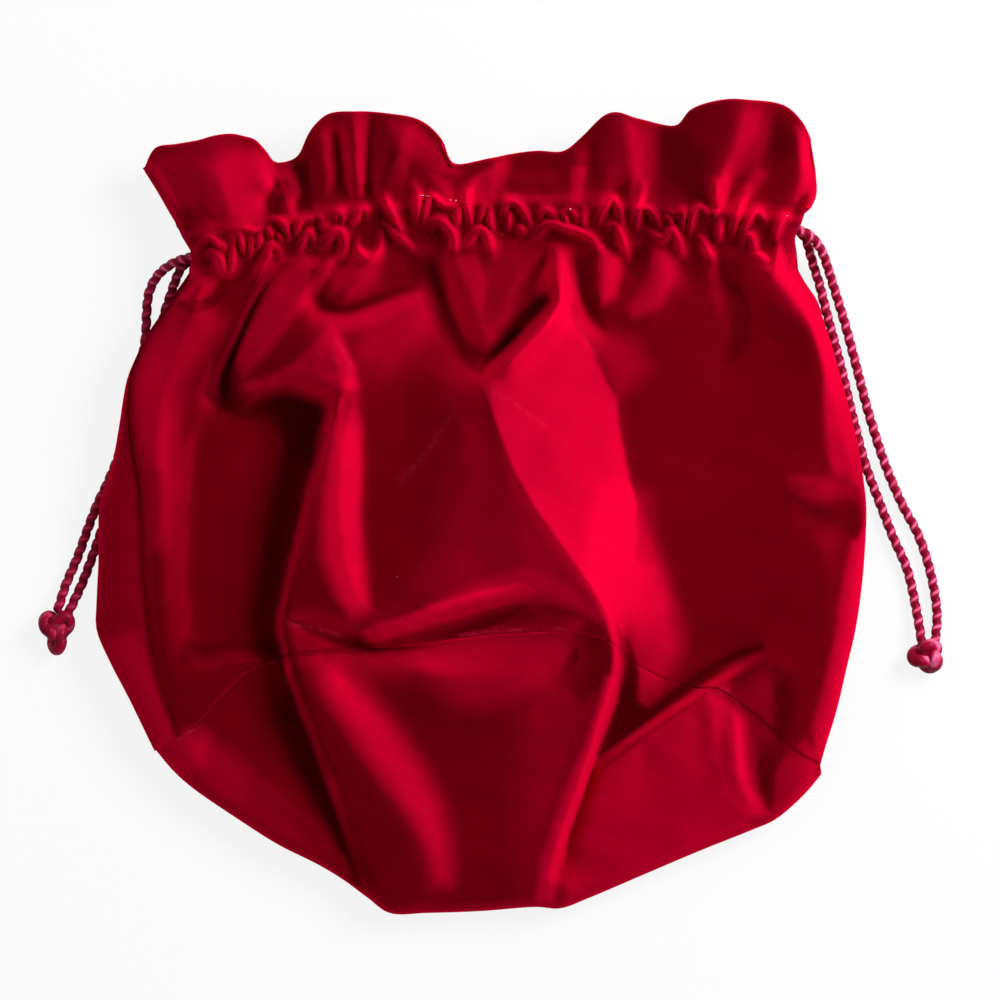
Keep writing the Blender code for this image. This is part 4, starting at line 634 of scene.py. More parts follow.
def evenColumns(rows, place, count):
    # moves the plan points along each row so that they lie evenly on the folded surface
    dense = place(rows)
    steps = np.linalg.norm(np.diff(dense, axis=1), axis=2)
    run = np.concatenate([np.zeros((len(rows), 1)), np.cumsum(steps, axis=1)], axis=1)
    run = evened(run / run[:, -1:], 6)
    columns = np.arange(rows.shape[1])
    wanted = np.linspace(0, 1, count)
    picked = []
    for row in range(len(rows)):
        spot = np.interp(wanted, run[row], columns)
        picked.append(np.stack([np.interp(spot, columns, rows[row, :, k]) for k in range(2)], axis=1))
    return np.array(picked)


def surfaceNormals(points, flip):
    normals = np.cross(np.gradient(points, axis=0), np.gradient(points, axis=1)) * flip
    return normals / np.maximum(np.linalg.norm(normals, axis=-1, keepdims=True), 1e-12)


def inwardWay(points, flip):
    # the way to a second layer: the normals, evened out and turned towards the vertical
    normals = surfaceNormals(points, flip)
    normals = np.array([evened(row, 5) for row in normals])
    normals[..., 2] += 0.7 * np.sign(normals[..., 2].mean())
    return normals / np.linalg.norm(normals, axis=-1, keepdims=True)


def mouthTurn(outside, normals):
    # the cloth's turn at the mouth, from the second layer up to the first
    edge = evened(outside[0], 6)
    toMouth = np.cross(normals[0], np.gradient(edge, axis=0))
    toMouth *= np.sign((toMouth * (edge - evened(outside[3], 6))).sum(axis=1, keepdims=True))
    toMouth /= np.linalg.norm(toMouth, axis=1, keepdims=True)
    half = front["layers"] / 2
    return [outside[0] - normals[0] * half * (1 - math.cos(angle)) + toMouth * half * math.sin(angle)
            for angle in (math.pi * 0.75, math.pi / 2, math.pi / 4)]


def sheetMesh(name, outside, thickness, flip, crease, lightShadeAndNap):
    # closed sheet of cloth from a grid of points on its pile side; its inner side has half the points
    normals = surfaceNormals(outside, flip)
    rows, count = outside.shape[:2]
    rowPick = np.unique([*range(0, rows, 2), rows - 1])
    columnPick = np.unique([*range(0, count, 2), count - 1])
    inside = (outside - normals * thickness)[rowPick][:, columnPick]
    inside[..., 2] = np.maximum(inside[..., 2], 0.0002)
    order = np.arange(rows * count).reshape(rows, count)
    inner = rows * count + np.arange(inside.shape[0] * inside.shape[1]).reshape(inside.shape[:2])

    def quadsOf(grid, turned):
        corners = [grid[:-1, :-1], grid[1:, :-1], grid[1:, 1:], grid[:-1, 1:]]
        return np.stack(corners[::-1] if turned else corners, axis=-1).reshape(-1, 4).tolist()

    def rimOf(grid):
        return [*grid[0, :], *grid[1:, -1], *grid[-1, -2::-1], *grid[-2:0:-1, 0]]

    outerRim, innerRim = rimOf(order), rimOf(inner)
    kept = set(order[rowPick][:, columnPick].ravel().tolist())
    stops = [k for k, vertex in enumerate(outerRim) if int(vertex) in kept]
    sides = []
    for k, stop in enumerate(stops):
        after = stops[k + 1] if k + 1 < len(stops) else len(outerRim)
        reach = [int(outerRim[m % len(outerRim)]) for m in range(stop, after + 1)]
        side = reach + [int(innerRim[(k + 1) % len(innerRim)]), int(innerRim[k])]
        sides.append(side[::-1] if flip < 0 else side)
    faces = quadsOf(order, flip < 0) + quadsOf(inner, flip > 0) + sides
    points = np.concatenate([outside.reshape(-1, 3), inside.reshape(-1, 3)])
    mesh = bpy.data.meshes.new(name)
    mesh.from_pydata(points.tolist(), [], faces)
    # the rim is left flat, so that no line shows where two sheets meet
    mesh.polygons.foreach_set("use_smooth", np.arange(len(faces)) < len(faces) - len(sides))
    # the rubbed lines, and the painted light and shade with the nap, go onto the outer points
    for label, values in (("crease", crease), ("lightShadeAndNap", lightShadeAndNap)):
        made = mesh.attributes.new(label, "FLOAT", "POINT")
        values = np.concatenate([values.ravel(), np.zeros(inner.size)])
        made.data.foreach_set("value", values.astype(np.float32))
    return placed(name, mesh)


# Pale rubbed lines in the pile: x, y, width and strength
rubs = [
    ([(-40.6, -49.2), (-28, -45.3), (-14.8, -41.8), (0, -37.6), (13.4, -33.6)], 0.55, 0.5),
    ([(1, 44), (5, 42), (10, 40), (18, 34), (24, 30)], 0.9, 0.45),
    ([(-54, 62), (-50, 56), (-48, 52)], 0.9, 0.5),
    ([(-60, 57), (-52, 53), (-49, 51)], 0.8, 0.45),
    ([(-8, 38), (-15, 28), (-22, 18), (-30, 10)], 1.2, 0.12),
    ([(-8, -47), (0, -46), (10, -45), (20, -45.5), (30, -45)], 0.6, 0.5),
    ([(-70, -42), (-60, -45), (-52, -47)], 0.7, 0.3),
    ([(31, 78), (34, 70), (38, 63), (42, 57)], 0.8, 0.25),
    ([(-112, -85.5), (-105, -81)], 0.7, 0.35),
    ([(86, -68.5), (91, -70), (95, -73)], 0.7, 0.3),
]


def creaseOf(spots):
    # how rubbed the pile is at plan points
    worn = np.zeros(spots.shape[:2])
    for line, reach, strength in rubs:
        worn = np.maximum(worn, strength * nearLine(spots, smoothLine(line), reach))
    return worn


# Painted light and shade, with some brushed nap: patches lighter or darker than the pile, as outline in mm,
# softness of its edge in mm and amount
lightShadeAndNapPatches = [
    # left side
    ([(-129, 38), (-128, 48), (-123, 60), (-113, 67), (-100, 74), (-96, 68), (-103, 57), (-110, 46),
      (-114, 30), (-115, 10), (-118, -15), (-122, -15), (-123, 0), (-124, 15), (-127, 28)], 3.5, 0.32),
    ([(-128, 45), (-123, 55), (-116, 56), (-117, 35), (-118, 15), (-122, 15), (-126, 28)], 3.0, 0.25),
    ([(-128, 40), (-130, 30), (-127, 15), (-126, 0), (-126, -25), (-124, -45), (-119, -65), (-113, -84),
      (-120, -88), (-130, -70), (-138, -55), (-143, -42), (-143, -20), (-141, 0), (-137, 15), (-132, 35)],
      1.2, 0.12),
    ([(-77, 92), (-82, 80), (-88, 68), (-91, 58), (-90, 48), (-90, 40), (-97, 36), (-103, 42), (-99, 56),
      (-91, 68), (-84, 82), (-79, 92)], 1.6, -0.8),
    ([(-97, 44), (-90, 40), (-84, 42.5), (-72, 43.5), (-60, 39), (-56, 37), (-59, 26), (-62, 15), (-70, 20),
      (-78, 32), (-88, 33), (-97, 36)], 2.5, -0.65),
    ([(-76, 90), (-82, 76), (-88, 62), (-90.5, 54), (-88, 48), (-80, 56), (-74, 64), (-66, 74), (-62, 80),
      (-60, 90), (-66, 96)], 2.0, 0.35),
    ([(-88, 46), (-78, 49), (-70, 53), (-62, 61), (-55, 68), (-52, 64), (-48, 55), (-46, 44), (-50, 43),
      (-60, 42), (-70, 45), (-80, 44), (-88, 41)], 1.5, 0.35),
    ([(-62, 52), (-58, 64), (-53, 66), (-47, 52), (-46, 44), (-54, 44)], 1.5, 0.3),
    ([(-63, 88), (-64, 78), (-60, 73), (-50, 70.5), (-40, 74), (-24, 81), (-30, 81.5), (-42, 77),
      (-50, 74.5), (-56, 76), (-59, 80), (-58, 88)], 1.5, -0.5),
    ([(-56, 90), (-55, 80), (-48, 78), (-38, 82), (-36, 92), (-44, 96)], 2.5, 0.35),
    ([(-58, 70), (-50, 68.5), (-38, 72), (-24, 79), (-20, 83), (-24, 76), (-38, 68), (-50, 64), (-57, 66)],
      2.0, 0.25),
    ([(-46, 66), (-34, 76), (-20, 80), (-14, 70), (-20, 56), (-30, 50), (-42, 48)], 4.5, 0.14),
    ([(-30, 96), (-16, 90), (-13, 78), (-9, 64), (-3, 54), (0, 50), (-6, 52), (-13, 62), (-19, 74),
      (-26, 86)], 2.0, -0.55),
    ([(-14, 92), (-12, 76), (-7, 64), (2, 57), (4, 62), (0, 72), (2, 84), (-2, 94)], 1.5, 0.3),
    ([(-46, 45), (-43.8, 17), (-45, -2), (-42.2, -25), (-40.6, -38), (-45, -42), (-53, -34), (-59, -18),
      (-60, 1), (-58, 24), (-52, 40)], 3.0, 0.42),
    ([(-47, 42), (-43.6, 30), (-43.6, 17), (-44.8, -2), (-42, -25), (-41, -38), (-46, -34), (-51, -18),
      (-53, 1), (-52, 22)], 1.3, 0.32),
    ([(-61, 28), (-66.5, 4), (-72, -20), (-75.5, -36), (-74.5, -50), (-68.5, -70), (-62.5, -88), (-57, -100),
      (-53, -99), (-58.5, -87), (-64.5, -69), (-70, -50), (-71, -37), (-67.5, -20), (-62, 4), (-57, 28)],
      1.0, -0.36),
    ([(-46, 78), (-12, 82), (-10, 70), (-24, 60), (-42, 56)], 3.6, 0.14),
    ([(-60, 38), (-66, 10), (-72, -20), (-76, -40), (-73, -58), (-80, -55), (-85, -40), (-81, -15),
      (-75, 15), (-69, 33)], 3.0, -0.55),
    ([(-104, 94), (-97, 90), (-97, 80), (-104, 76), (-111, 77), (-112, 84)], 2.0, 0.25),
    ([(-113, 74), (-108, 72.5), (-104, 72.5), (-98, 75), (-94, 80), (-95, 88), (-97, 84), (-100, 78),
      (-106, 76), (-112, 76.5)], 1.0, -0.4),
    # middle
    ([(0, 47), (14, 59), (22, 68), (28, 76), (30, 84), (34, 68), (40, 60), (46, 47), (50, 40), (51, 30),
      (54, 15), (57, 2), (57, -10), (55, -30), (53, -44), (48, -41), (40, -28), (30, -14), (20, 0), (12, 14),
      (6, 30)], 0.9, 0.66),
    ([(20, 30), (30, 20), (40, -5), (44, -20), (38, -18), (28, 0), (18, 16)], 4.0, -0.12),
    ([(50, 45), (54, 20), (58, 0), (58, -30), (54, -40), (52, -20), (50, 10), (46, 30)], 3.0, 0.2),
    ([(46, 6), (61, 4), (66, -15), (70, -30), (75, -45), (74, -55), (67, -66), (60, -72), (56, -66),
      (55, -56), (50, -47), (45, -30), (40, -12)], 4.4, 0.42),
    ([(54, -20), (64, -22), (70, -36), (72, -50), (66, -62), (60, -72), (57, -68), (56, -54), (54, -44)],
      3.0, 0.3),
    ([(60, -5), (125, 0), (128, -40), (120, -60), (100, -52), (84, -54), (78, -40), (70, -20)], 6.0, -0.12),
    ([(-8, 35), (6, 22), (14, 6), (24, -10), (36, -26), (46, -42), (40, -46), (22, -34), (5, -36),
      (-10, -38), (-20, -30), (-12, 0)], 6.0, 0.2),
    ([(10, 8), (22, -8), (36, -26), (47, -42), (40, -44), (28, -32), (14, -14)], 4.0, 0.18),
    ([(20, -60), (40, -60), (44, -76), (36, -100), (26, -125), (16, -140), (10, -120), (16, -90)], 6.0, 0.2),
    ([(36, 68), (44, 66), (56, 62), (62, 52), (52, 42), (48, 48), (40, 60)], 4.0, 0.3),
    ([(26, 76), (16, 66), (8, 59), (0, 51), (2, 57), (10, 66), (18, 74), (24, 80)], 1.2, -0.7),
    ([(28, 85), (18, 76), (8, 66), (2, 60), (4, 66), (12, 76), (22, 86), (27, 92)], 1.5, 0.22),
    ([(27, 95), (30, 95), (33, 84), (34, 76), (29, 76), (27, 84)], 1.2, 0.5),
    # under the right half of the casing
    ([(33, 92), (36, 80), (40, 71), (46, 66), (44, 72), (42, 82), (42, 94)], 1.5, -0.5),
    ([(44, 96), (43, 84), (44, 74), (50, 78), (52, 92)], 1.8, 0.42),
    ([(53, 97), (54, 88), (58, 84), (62, 88), (62, 97)], 1.5, -0.5),
    ([(63, 96), (62, 84), (54, 74), (56, 70), (66, 74), (72, 84), (70, 96)], 2.0, 0.36),
    ([(89, 97), (90, 90), (93, 82), (96, 74), (99, 70), (99.5, 62), (96, 56), (90, 52), (92, 60), (92, 70),
      (88, 80), (85, 92)], 2.0, -0.5),
    ([(97, 98), (100, 88), (106, 80), (112, 74), (122, 66), (127, 55), (131, 54), (126, 68), (118, 82),
      (113, 94), (106, 98)], 2.4, 0.28),
    ([(127, 58), (126.5, 40), (127, 22), (131, 12), (140, 8), (138, 25), (134, 42), (130, 58)], 1.4, 0.26),
    ([(43, -91), (62, -76.5), (82, -63), (98, -55.5), (107, -54.5), (106, -58), (98, -60.5), (84, -69),
      (64, -82.5), (45, -97)], 1.0, -0.4),
    ([(113, 12), (125, 12), (138, 8), (138, 3), (125, 3), (114, 5)], 1.6, 0.2),
    ([(114, 4), (122, 2), (130, -1), (139, -6), (139, -12), (130, -7), (120, -2)], 2.0, -0.4),
    ([(137, -12), (134, -25), (131, -45), (129, -55), (126, -68), (122, -82), (125, -92), (129, -84),
      (134, -66), (138, -48), (142, -25), (142, -8)], 1.5, 0.42),
    # the crease across the flap, and the base below it
    ([(-74, -40), (-60, -38), (-50, -44), (-60, -58), (-70, -60)], 2.0, 0.12),
    ([(-44, -46), (-38, -43), (-28, -40), (-15, -35), (0, -31), (14, -28), (20, -31), (10, -34.5),
      (0, -37.5), (-15, -42), (-28, -46), (-38, -49.5)], 1.2, 0.62),
    ([(-70, -42), (-60, -45), (-50, -48.5), (-40, -50.5), (-28, -47.5), (-15, -43.5), (0, -39), (17, -35),
      (17, -38), (4, -43), (-12, -47.5), (-28, -51), (-40, -53.5), (-52, -51), (-62, -47.5)], 0.9, -0.6),
    ([(-52, -55), (-20, -52), (0, -47), (20, -45), (33, -44), (33, -52), (24, -62), (12, -70), (0, -74),
      (-10, -72), (-24, -62), (-40, -60)], 4.5, 0.34),
    ([(33, -41), (38, -42), (36, -46), (32, -48)], 1.2, 0.3),
    ([(20, -36), (34, -37), (44, -44), (47, -56), (43, -66), (37, -72), (32, -66), (38, -54), (38, -42),
      (28, -39)], 2.0, -0.3),
    ([(-60, -56), (-52, -58), (-44, -66), (-36, -76), (-30, -84), (-22, -96), (-16, -108), (-12, -122),
      (-12, -138), (-17, -138), (-21, -124), (-31, -108), (-42, -92), (-50, -80), (-58, -66)], 4.5, 0.6),
    ([(46, -62), (43, -74), (38, -88), (32, -102), (27, -116), (22, -130), (20, -146), (27, -147),
      (27, -133), (31, -120), (37, -105), (42, -92), (47, -76), (50, -64)], 1.6, 0.62),
    ([(50, -44), (55, -50), (58, -62), (57, -72), (62, -75), (70, -68.5), (80, -61), (92, -54), (104, -50),
      (104, -53), (92, -57), (80, -64), (70, -71), (60, -79), (50, -87), (41, -93), (45, -84), (50, -72),
      (52, -58)], 1.4, -0.85),
    ([(44, -94), (60, -82), (80, -68), (92, -62), (90, -75), (87, -95), (92, -108), (100, -118), (60, -135),
      (32, -146), (30, -135), (36, -118)], 2.4, 0.46),
    ([(-141, -50), (-128, -46), (-122, -60), (-114, -82), (-108, -100), (-116, -98), (-124, -86),
      (-134, -66)], 2.6, 0.24),
    ([(-120, -88), (-110, -82), (-96, -88), (-84, -100), (-70, -116), (-62, -128), (-80, -121), (-100, -108),
      (-114, -97)], 3.4, 0.16),
    ([(0, -28), (16, -22), (34, -30), (44, -41), (20, -33), (4, -36), (-10, -40), (-20, -36)], 2.4, 0.36),
    ([(2, 96), (26, 98), (30, 88), (20, 74), (6, 62), (-4, 60), (-8, 72), (-2, 84)], 3.4, 0.14),
    ([(84, -69), (92, -72), (96, -78), (97, -90), (98, -102), (104, -111), (108, -114), (98, -115),
      (90, -106), (86, -92), (85, -78)], 1.8, 0.48),
    ([(97, -58), (108, -56), (114, -62), (116, -75), (112, -86), (108, -100), (106, -110), (101, -105),
      (98, -92), (98, -78), (93, -71), (95, -64)], 2.0, -0.4),
    ([(108, -98), (114, -90), (120, -86), (125, -92), (123, -102), (112, -113), (108, -113)], 2.0, 0.35),
    ([(-112, -84), (-104, -80), (-99, -84), (-102, -96), (-110, -96)], 2.5, 0.25),
    ([(-112, -96), (-95, -90), (-80, -104), (-60, -122), (-50, -134), (-60, -132), (-90, -115)], 4.0, 0.12),
    ([(-112, -58), (-100, -58), (-88, -56), (-74, -57), (-74, -50), (-90, -50), (-110, -50)], 2.0, -0.4),
    ([(-70, -62), (-64, -80), (-56, -100), (-48, -120), (-40, -138), (-46, -137), (-57, -118), (-68, -98),
      (-77, -75)], 3.0, -0.65),
    # frill
    ([(-104, 128), (-98, 116), (-93, 107), (-90, 101), (-82, 102), (-79, 112), (-74, 122), (-80, 130),
      (-92, 132)], 3.0, 0.46),
    ([(-124, 128), (-104, 136), (-92, 138), (-82, 132), (-77, 118), (-80, 104), (-92, 101), (-104, 105),
      (-114, 110)], 3.0, 0.25),
    ([(60, 126), (86, 126), (88, 102), (60, 102)], 3.0, -0.14),
    ([(34, 142), (50, 149), (80, 151), (100, 153), (120, 147), (123, 132), (104, 128), (84, 126), (60, 128),
      (40, 128)], 3.6, -0.15),
    ([(-28, 128), (-12, 122), (-2, 122), (-2, 106), (-14, 104), (-28, 108)], 3.6, 0.12),
    ([(-80, 108), (-79, 118), (-75, 121), (-73, 114), (-75, 107)], 1.5, -0.4),
    ([(-75, 123), (-71, 118), (-69, 112), (-68, 107), (-71, 105), (-72, 112), (-74, 118)], 1.0, 0.4),
    ([(-108, 112), (-103, 106), (-98, 101), (-101, 100), (-107, 103), (-112, 108)], 2.5, -0.35),
    ([(-72, 126), (-65, 128), (-63, 120), (-62, 110), (-67, 108), (-68, 116)], 2.0, -0.25),
    ([(-76.5, 127), (-73, 122), (-69.5, 116), (-68.5, 110), (-66, 106.5), (-62.5, 109), (-63, 118),
      (-64, 129)], 0.9, -0.45),
    ([(-58, 135), (-54, 135), (-51, 120), (-51, 108), (-56, 108), (-57, 120)], 2.0, -0.2),
    ([(-56, 143), (-50, 143), (-46, 128), (-44.5, 112), (-49, 112), (-50, 125), (-54, 136)], 2.4, 0.2),
    ([(-45, 143), (-36, 143), (-34, 134), (-38, 122), (-37, 113), (-43, 112), (-44, 128)], 2.4, -0.2),
    ([(-35, 143), (-24, 141), (-17, 134), (-12, 127), (-8, 124), (-16, 123), (-24, 128), (-30, 134)],
      2.2, 0.5),
    ([(-34, 132), (-28, 128), (-26, 116), (-32, 116), (-35, 124)], 2.0, -0.35),
    ([(-20, 124), (-12, 121), (-9, 114), (-6, 120), (0, 124), (6, 127), (5.5, 112), (0, 112), (-9, 110)],
      1.4, 0.4),
    ([(7, 127), (32, 129), (31, 113), (7, 113)], 1.2, -0.15),
    ([(33, 126), (39, 126), (37, 112), (32.5, 112)], 1.5, 0.3),
    ([(40, 130), (46, 128), (44, 113), (39, 112)], 1.5, -0.3),
    ([(46, 143), (56, 144), (60, 135), (60.5, 120), (58, 111), (55.5, 112), (55, 124), (48, 116), (45, 114),
      (46, 128)], 3.5, 0.34),
    ([(50, 117), (54.5, 121), (55, 110), (52, 106)], 1.2, -0.4),
    ([(63, 140), (76, 138), (84, 130), (83, 108), (62, 108)], 3.0, -0.38),
    ([(93, 149), (106, 149), (104, 138), (96, 128), (91, 120), (89, 111), (84, 111), (84, 122), (88, 132),
      (92, 140)], 3.5, 0.36),
    ([(102, 126), (106, 124), (101, 116), (97, 109), (94, 109), (96, 118)], 1.5, 0.32),
    ([(106, 146), (115, 143), (117, 130), (108, 126), (104, 134)], 3.0, -0.3),
    ([(114, 146), (120, 139), (123, 128), (124, 114), (119, 106), (113, 108), (114, 114), (119, 122),
      (118, 134)], 3.0, 0.26),
    ([(121, 116), (118, 115), (115, 108), (115, 104), (118, 103), (121, 110)], 1.0, -0.45),
]


# how dark the painted shade gets at most, painted shade on the casing's floor, painted light on its gathers,
# and how dark the seams are
lightShadeAndNapEnds = {"least": -0.72, "casing": 0.36, "tufts": 0.78, "sideSeam": 0.7,
           "baseSeam": ((-76, -68, -30, -20, 70, 84), (0.15, 0.5, 0.5, 0.12, 0.12, 0.3))}   # at x, how dark


def lightShadeAndNapOf(plan, places):
    # amount of painted light and shade, with the nap, at laid places; negative where shade is painted
    seen = 1 / (1 - places[..., 2] / mm / view["height"])
    x = view["centre"][0] + (places[..., 0] / mm - view["centre"][0]) * seen
    y = view["centre"][1] + (places[..., 1] / mm - view["centre"][1]) * seen
    amount = np.zeros(x.shape)
    for outline, soft, value in lightShadeAndNapPatches:
        corners, soft = np.array(outline, float), soft ** 1.3
        near = inBoxOf(x, y, corners, soft)
        if not near.any():
            continue
        spots = np.stack([x[near], y[near]], axis=1)
        best, inside = np.full(len(spots), 1e9), np.zeros(len(spots), bool)
        for start, end in zip(corners, np.roll(corners, -1, axis=0)):
            way = end - start
            best = np.minimum(best, offPiece(spots, start, end)[0])
            crossing = (start[1] > spots[:, 1]) != (end[1] > spots[:, 1])
            side = start[0] + (spots[:, 1] - start[1]) * way[0] / (way[1] if way[1] else 1e-9)
            inside ^= crossing & (spots[:, 0] < side)
        share = np.clip(0.5 + np.where(inside, best, -best) / (2 * soft), 0, 1)
        amount[near] += value * eased(share)
    # painted shade on the casing's floor between the gathers, painted light on the gathers, and dark lines
    # along the seams
    up = plan[..., 1] - casingY(plan[..., 0])
    band = np.clip((casing["half"] + 2.5 - np.abs(up)) / 4, 0, 1)
    gatherLightReach = np.clip((casing["half"] + 9 - np.abs(up)) / 6, 0, 1)
    strength = np.interp(plan[..., 0], *lightShadeAndNapEnds["baseSeam"])
    amount = np.maximum(amount, lightShadeAndNapEnds["least"])
    seams = (lightShadeAndNapEnds["sideSeam"] * nearLine(plan, lines["sideLeft"], edges["seamReach"])
             + strength * nearLine(plan, lines["baseSeam"], 0.7))
    gatherLightMask = tuftsAt(plan[..., 0], plan[..., 1])[1]
    return amount - seams - lightShadeAndNapEnds["casing"] * band + lightShadeAndNapEnds["tufts"] * gatherLightReach * gatherLightMask


front = {"columns": 300, "frillRows": 32, "casingRows": 24, "bodyRows": 128,
         "cloth": 0.0011, "layers": 0.0023}    # thickness, and from one layer's outside to the next one's


def casingRows(ups, across):
    # rows beside the casing's middle line, at the given ways up from it
    rows = []
    for up in ups:
        reach = abs(up) / casing["half"]
        left = endOf(up, 0) + max(0, 1 - reach)
        right = endOf(up, 1) - max(0, 1 - reach)
        x = left + (right - left) * across
        rows.append(np.stack([x, casingY(x) + up], axis=1))
    return rows


dense = np.linspace(0, 1, 500)
ups = np.linspace(casing["rows"], -casing["rows"], front["casingRows"])
casingPlan = casingRows(ups, dense)
frillLeft = np.concatenate([lines["frillLeft"], casingPlan[0][:1]])
frillRight = np.concatenate([lines["frillRight"], casingPlan[0][-1:]])
frillDown = np.linspace(0, 1, front["frillRows"] + 1)[:-1]
# the frill's columns run straight down from the mouth
shares = np.linspace(0, 1, 3000)
mouthX = np.maximum.accumulate(along(lines["mouth"], shares)[:, 0])
fromMouth = np.interp(mouthX[0] + (mouthX[-1] - mouthX[0]) * dense, mouthX, shares)
frillPlan = patch(lines["mouth"], casingPlan[0], frillLeft, frillRight, dense, frillDown, fromMouth)
bodyDown = np.linspace(0, 1, front["bodyRows"] + 1)[1:]
bodyLeft = np.concatenate([casingPlan[-1][:1], lines["sideLeft"]])
bodyRight = np.concatenate([casingPlan[-1][-1:], lines["sideRight"]])
bodyPlan = patch(casingPlan[-1], lines["baseSeam"], bodyLeft, bodyRight, dense, bodyDown)
frontPlan = np.concatenate([frillPlan, np.array(casingPlan), bodyPlan])
frontPlan = evenColumns(frontPlan, laidFront, front["columns"])
frontOutside = laidFront(frontPlan)
frontRows = len(frontPlan)


def turnedLayer(outside, rowPlan, step=2):
    # second layer of the frill, from the lower stitching up to the mouth, and the turn there
    normals = inwardWay(outside, 1)
    beside, slope = casing["channel"]
    first, onward = casing["channelEnds"]
    last = front["frillRows"] + int(np.argmin(np.abs(ups + casing["half"]))) + 1
    rows = []
    for row in range(last, -1, -1):
        spots = outside[row] - normals[row] * front["layers"]
        if row >= front["frillRows"]:
            up = ups[row - front["frillRows"]]
            share = np.clip((casing["half"] + beside - abs(up)) / slope, 0, 1)
            inward = np.minimum(rowPlan[row, :, 0] - endOf(up, 0), endOf(up, 1) - rowPlan[row, :, 0])
            share = share * np.clip((inward - first) / onward, 0, 1)
            spots[:, 2] = spots[:, 2] * (1 - share) + casing["under"] * mm * share
            rows.append(spots)
        elif row % step == 0:
            rows.append(spots)
    return np.array(rows + mouthTurn(outside, normals))


frontUnder = turnedLayer(frontOutside, frontPlan)
frontGrid = np.concatenate([frontUnder, frontOutside])
frontCrease = np.concatenate([np.zeros(frontUnder.shape[:2]), creaseOf(frontPlan)])
# painted light and shade, with the nap, on the front
frontLightShadeAndNap = lightShadeAndNapOf(frontPlan, frontOutside)
turnLightShadeAndNap = np.zeros(frontUnder.shape[:2])
turnLightShadeAndNap[-3:] = frontLightShadeAndNap[0]
frontLightShadeAndNap = np.concatenate([turnLightShadeAndNap, frontLightShadeAndNap])
frontPanel = sheetMesh("velvetFront", frontGrid, front["cloth"], 1, frontCrease, frontLightShadeAndNap)
print("front", frontGrid.shape, "faces", len(frontPanel.data.polygons))


# Base: a round panel folded in two over the lower edge

base = {"columns": 300, "topRows": 100, "roundRows": 8, "underRows": 16, "roll": 8.0, "meets": 16}

baseDown = np.linspace(0, 1, base["topRows"])
seamLine, foldLine = along(lines["baseSeam"], dense), along(lines["baseFold"], dense)
basePlan = seamLine[None] + (foldLine - seamLine)[None] * baseDown[:, None, None]
basePlan = evenColumns(basePlan, laidFront, base["columns"])
# at the seam its columns meet those of the front
order = np.arange(base["columns"])
runs = [np.cumsum(np.concatenate([[0], np.linalg.norm(np.diff(row, axis=0), axis=1)]))
        for row in (basePlan[0], frontPlan[-1])]
met = np.interp(runs[1] / runs[1][-1], runs[0] / runs[0][-1], order)
for row in range(base["meets"]):
    spot = order + (met - order) * (1 - row / base["meets"])
    basePlan[row] = np.stack([np.interp(spot, order, basePlan[row, :, k]) for k in range(2)], axis=1)
basePlan[0] = frontPlan[-1]
baseTop = laidFront(basePlan)
underLine = along(lines["underSeam"], np.linspace(0, 1, base["columns"]))
foldPlan = basePlan[-1]
backWay = underLine - foldPlan
depth = np.linalg.norm(backWay, axis=1)
backWay /= depth[:, None]
roundGo = base["roll"] * (1 - np.cos(np.linspace(0, math.pi / 2, base["roundRows"] + 1)[1:]))
baseUnder = []
for go in [*roundGo, *np.linspace(base["roll"], 100, base["underRows"] + 1)[1:]]:
    share = (go - base["roll"]) / (100 - base["roll"])
    if go <= base["roll"]:
        reach = np.minimum(go, 0.4 * depth * go / base["roll"])
        z = edges["foldHeight"] * (1 - math.sqrt(1 - (1 - go / base["roll"]) ** 2))
    else:
        start = np.minimum(base["roll"], 0.4 * depth)
        reach = start + (depth - start) * share
        z = 0.0
    spots = foldPlan + backWay * reach[:, None]
    baseUnder.append(np.concatenate([spots, np.full((base["columns"], 1), z)], axis=1) * mm)
baseGrid = np.concatenate([baseTop, np.array(baseUnder)])
baseCrease = np.concatenate([creaseOf(basePlan), np.zeros((len(baseUnder), base["columns"]))])
baseLightShadeAndNap = np.concatenate([lightShadeAndNapOf(basePlan, baseTop), np.zeros((len(baseUnder), base["columns"]))])
basePanel = sheetMesh("velvetBase", baseGrid, front["cloth"], 1, baseCrease, baseLightShadeAndNap)
print("base", baseGrid.shape, "faces", len(basePanel.data.polygons))


# Back: lies on the table, and comes round the left side up to the seam

back = {"strip": 20, "roll": 14, "flat": 120, "rightRoll": 12,     # columns
        "frillRows": 20, "casingRows": 13, "bodyRows": 74,
        "edgeHeight": 9.5, "rollDepth": 12.0, "rightDepth": 9.0, "innerCasing": 8.3, "inset": 1.6,
        "allowance": 2.0}


def underBow(share):
    # how far the back's lower edge bows away from a straight line
    start, end = lines["underSeam"][0], lines["underSeam"][-1]
    return along(lines["underSeam"], share) - (start + (end - start) * share[:, None])


